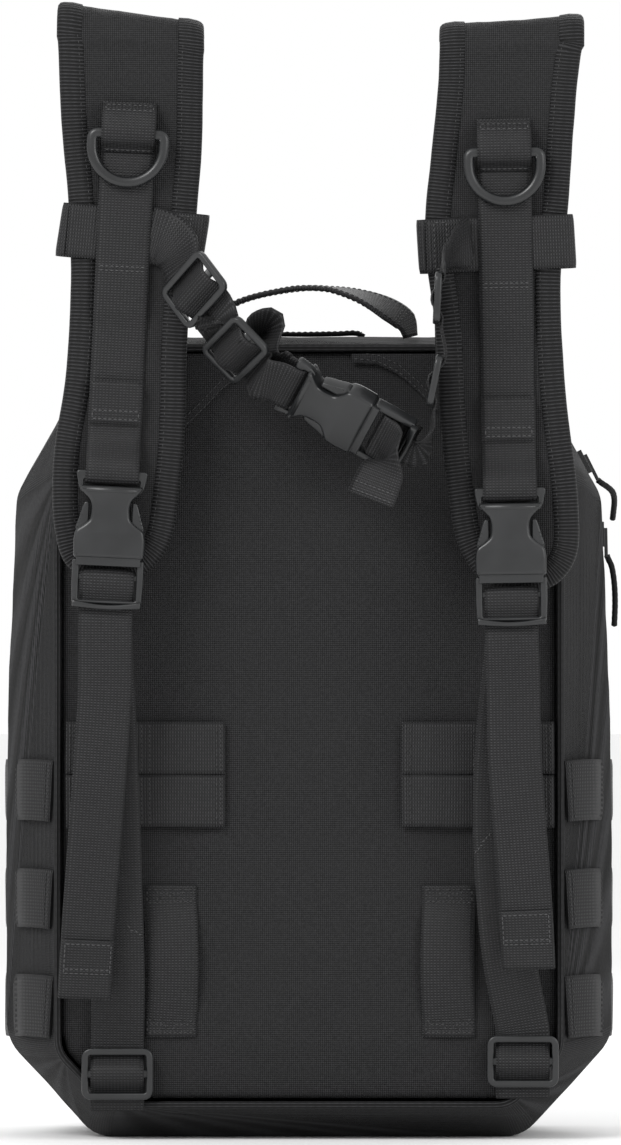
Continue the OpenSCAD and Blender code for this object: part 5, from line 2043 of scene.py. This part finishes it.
def build_mesh_pocket():
    """Knotted net on the inside of the lid, with a bound rim."""
    low, high = node_box("mesh_pocket")
    pitch = 4.2
    points, faces = [], []

    def strand(a, b, r=0.42):
        d = (b - a).normalized()
        side = d.cross(Vector((0, 1, 0))).normalized()
        base = len(points)
        for q in (a, b):
            for u, v in ((1, 0), (0, 1), (-1, 0), (0, -1)):
                points.append(q + side * (u * r) + Vector((0, v * r, 0)))
        for k in range(4):
            faces.append((base + k, base + (k + 1) % 4, base + 4 + (k + 1) % 4, base + 4 + k))
    nx, nz = int((high.x - low.x - 8) / pitch), int((high.z - low.z - 10) / pitch)
    at = lambda i, k: Vector((low.x + 4 + i * (high.x - low.x - 8) / nx, (low.y + high.y) / 2 + 0.5 * fuzz((i * pitch, 0, k * pitch), 30.0, 6.0),
                              low.z + 4 + k * (high.z - low.z - 10) / nz))
    for i in range(nx + 1):
        for k in range(nz + 1):
            if i < nx and k < nz:
                a, b, c, d = at(i, k), at(i + 1, k), at(i + 1, k + 1), at(i, k + 1)
                if (i + k) % 2:
                    strand(a, c)
                else:
                    strand(b, d)
    obj = new_object("mesh_pocket", points, faces)
    cloth_uv(obj)
    finish_piece(obj, "lining", "lid", ["mesh_pocket"])
    y = (low.y + high.y) / 2
    rim = [(low.x + 3, low.z + 3), (high.x - 3, low.z + 3), (high.x - 3, high.z - 4), (low.x + 3, high.z - 4)]
    parts = []
    for k, (a, b) in enumerate(zip(rim, rim[1:] + rim[:1])):
        across = (0, 0, 1) if k % 2 == 0 else (1, 0, 0)
        parts.append(Web(f"r{k}", [(a[0], y, a[1]), ((a[0] + b[0]) / 2, y, (a[1] + b[1]) / 2), (b[0], y, b[1])], [across] * 3, w=9, t=1.9, wave=0.15).obj)
    join("mesh_pocket_rim", parts, "binding", "lid")


# ---------------------------------------------------------------- sliders and pull cords
CORD_LOW = [
    (0.1432, 0.021, 0.278), (0.144, 0.021, 0.276), (0.1454, 0.021, 0.273), (0.1464, 0.021, 0.268),
    (0.147, 0.021, 0.262), (0.1472, 0.021, 0.255), (0.147, 0.021, 0.248), (0.1468, 0.021, 0.244)
]
CORD_HIGH = [
    (0.139, 0.021, 0.314), (0.1408, 0.022, 0.3126), (0.1436, 0.0245, 0.3108), (0.146, 0.028, 0.3086),
    (0.147, 0.032, 0.306), (0.1472, 0.036, 0.303), (0.147, 0.04, 0.3), (0.1468, 0.043, 0.2975),
    (0.1466, 0.045, 0.2956)
]
CORD_D = 3.0


def build_cord(name, points, node, body):
    """A braided pull cord that hangs from its slider, with a heat-shrunk end."""
    path = spline([tuple(c / MM for c in p) for p in points], 0.8)
    n = len(path)
    frames = []
    side = Vector((0, 1, 0))
    for i in range(n):
        d = (path[min(i + 1, n - 1)] - path[max(i - 1, 0)]).normalized()
        side = (side - d * side.dot(d)).normalized()
        frames.append((d, side.copy(), d.cross(side)))
    sides = 16
    rings = []
    for i in range(n):
        d, a, b = frames[i]
        ring = []
        for k in range(sides + 1):
            ang = 2 * math.pi * (k % sides) / sides
            braid = 0.07 * math.sin(4 * ang + i * 0.9) * math.sin(4 * ang - i * 0.9)
            r = CORD_D / 2 * (0.97 + braid)
            ring.append(path[i] + a * (r * math.cos(ang)) + b * (r * math.sin(ang)))
        rings.append(ring)
    cap0 = [path[0].copy() for _ in range(sides + 1)]
    cap1 = [path[-1] + frames[-1][0] * 0.6 for _ in range(sides + 1)]
    obj = lofted(name, [cap0] + rings + [cap1], 1.0, closed_rings=False)
    bm = bmesh.new()
    bm.from_mesh(obj.data)
    bmesh.ops.remove_doubles(bm, verts=bm.verts, dist=0.000001)
    bmesh.ops.recalc_face_normals(bm, faces=bm.faces)
    bm.to_mesh(obj.data)
    bm.free()
    smooth_shade(obj)
    finish_piece(obj, "cord", body, [node])
    length = sum((b - a).length for a, b in zip(path, path[1:])) * MM
    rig.cord(obj, points[0], round(length, 4), CORD_D * MM, "bare", "limp", "hanging",
            path=[tuple(q * MM) for q in path])
    return obj


def build_sliders():
    for node in ("zip_slider_upper", "zip_slider_lower", "pocket_slider"):
        dress_cad(node, 0.35, "slider", segments=3, angle=30)
    return build_cord("pull_cord_low", CORD_LOW, "pull_cord_lower", "slider_lower"), build_cord(
        "pull_cord_high", CORD_HIGH, "pull_cord_upper", "slider_upper"
    )


# ---------------------------------------------------------------- the whole pack
make_camera()
make_studio()
build_sliders()
build_back_panel()
build_rear_shell()
build_piping()
build_back_molle()
build_belt_loops()
build_side_molle()
build_yokes()
build_port_flap()
build_handle()
for side in ("left", "right"):
    build_shoulder_pad(side)
    build_binding(side)
    build_strap_webbing(side)
    build_d_ring(side)
    build_buckle(side)
    build_lower_strap(side)
    build_tail(side)
    build_sternum_loop(side)
build_buckle("sternum")
build_sternum()
build_zips()
build_lid_and_pocket()
build_inside()

with open("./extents.json", "w") as out:
    low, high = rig.bounds()
    json.dump({"cad": [list(cad_low), list(cad_high)], "visual": [list(low), list(high)]}, out)
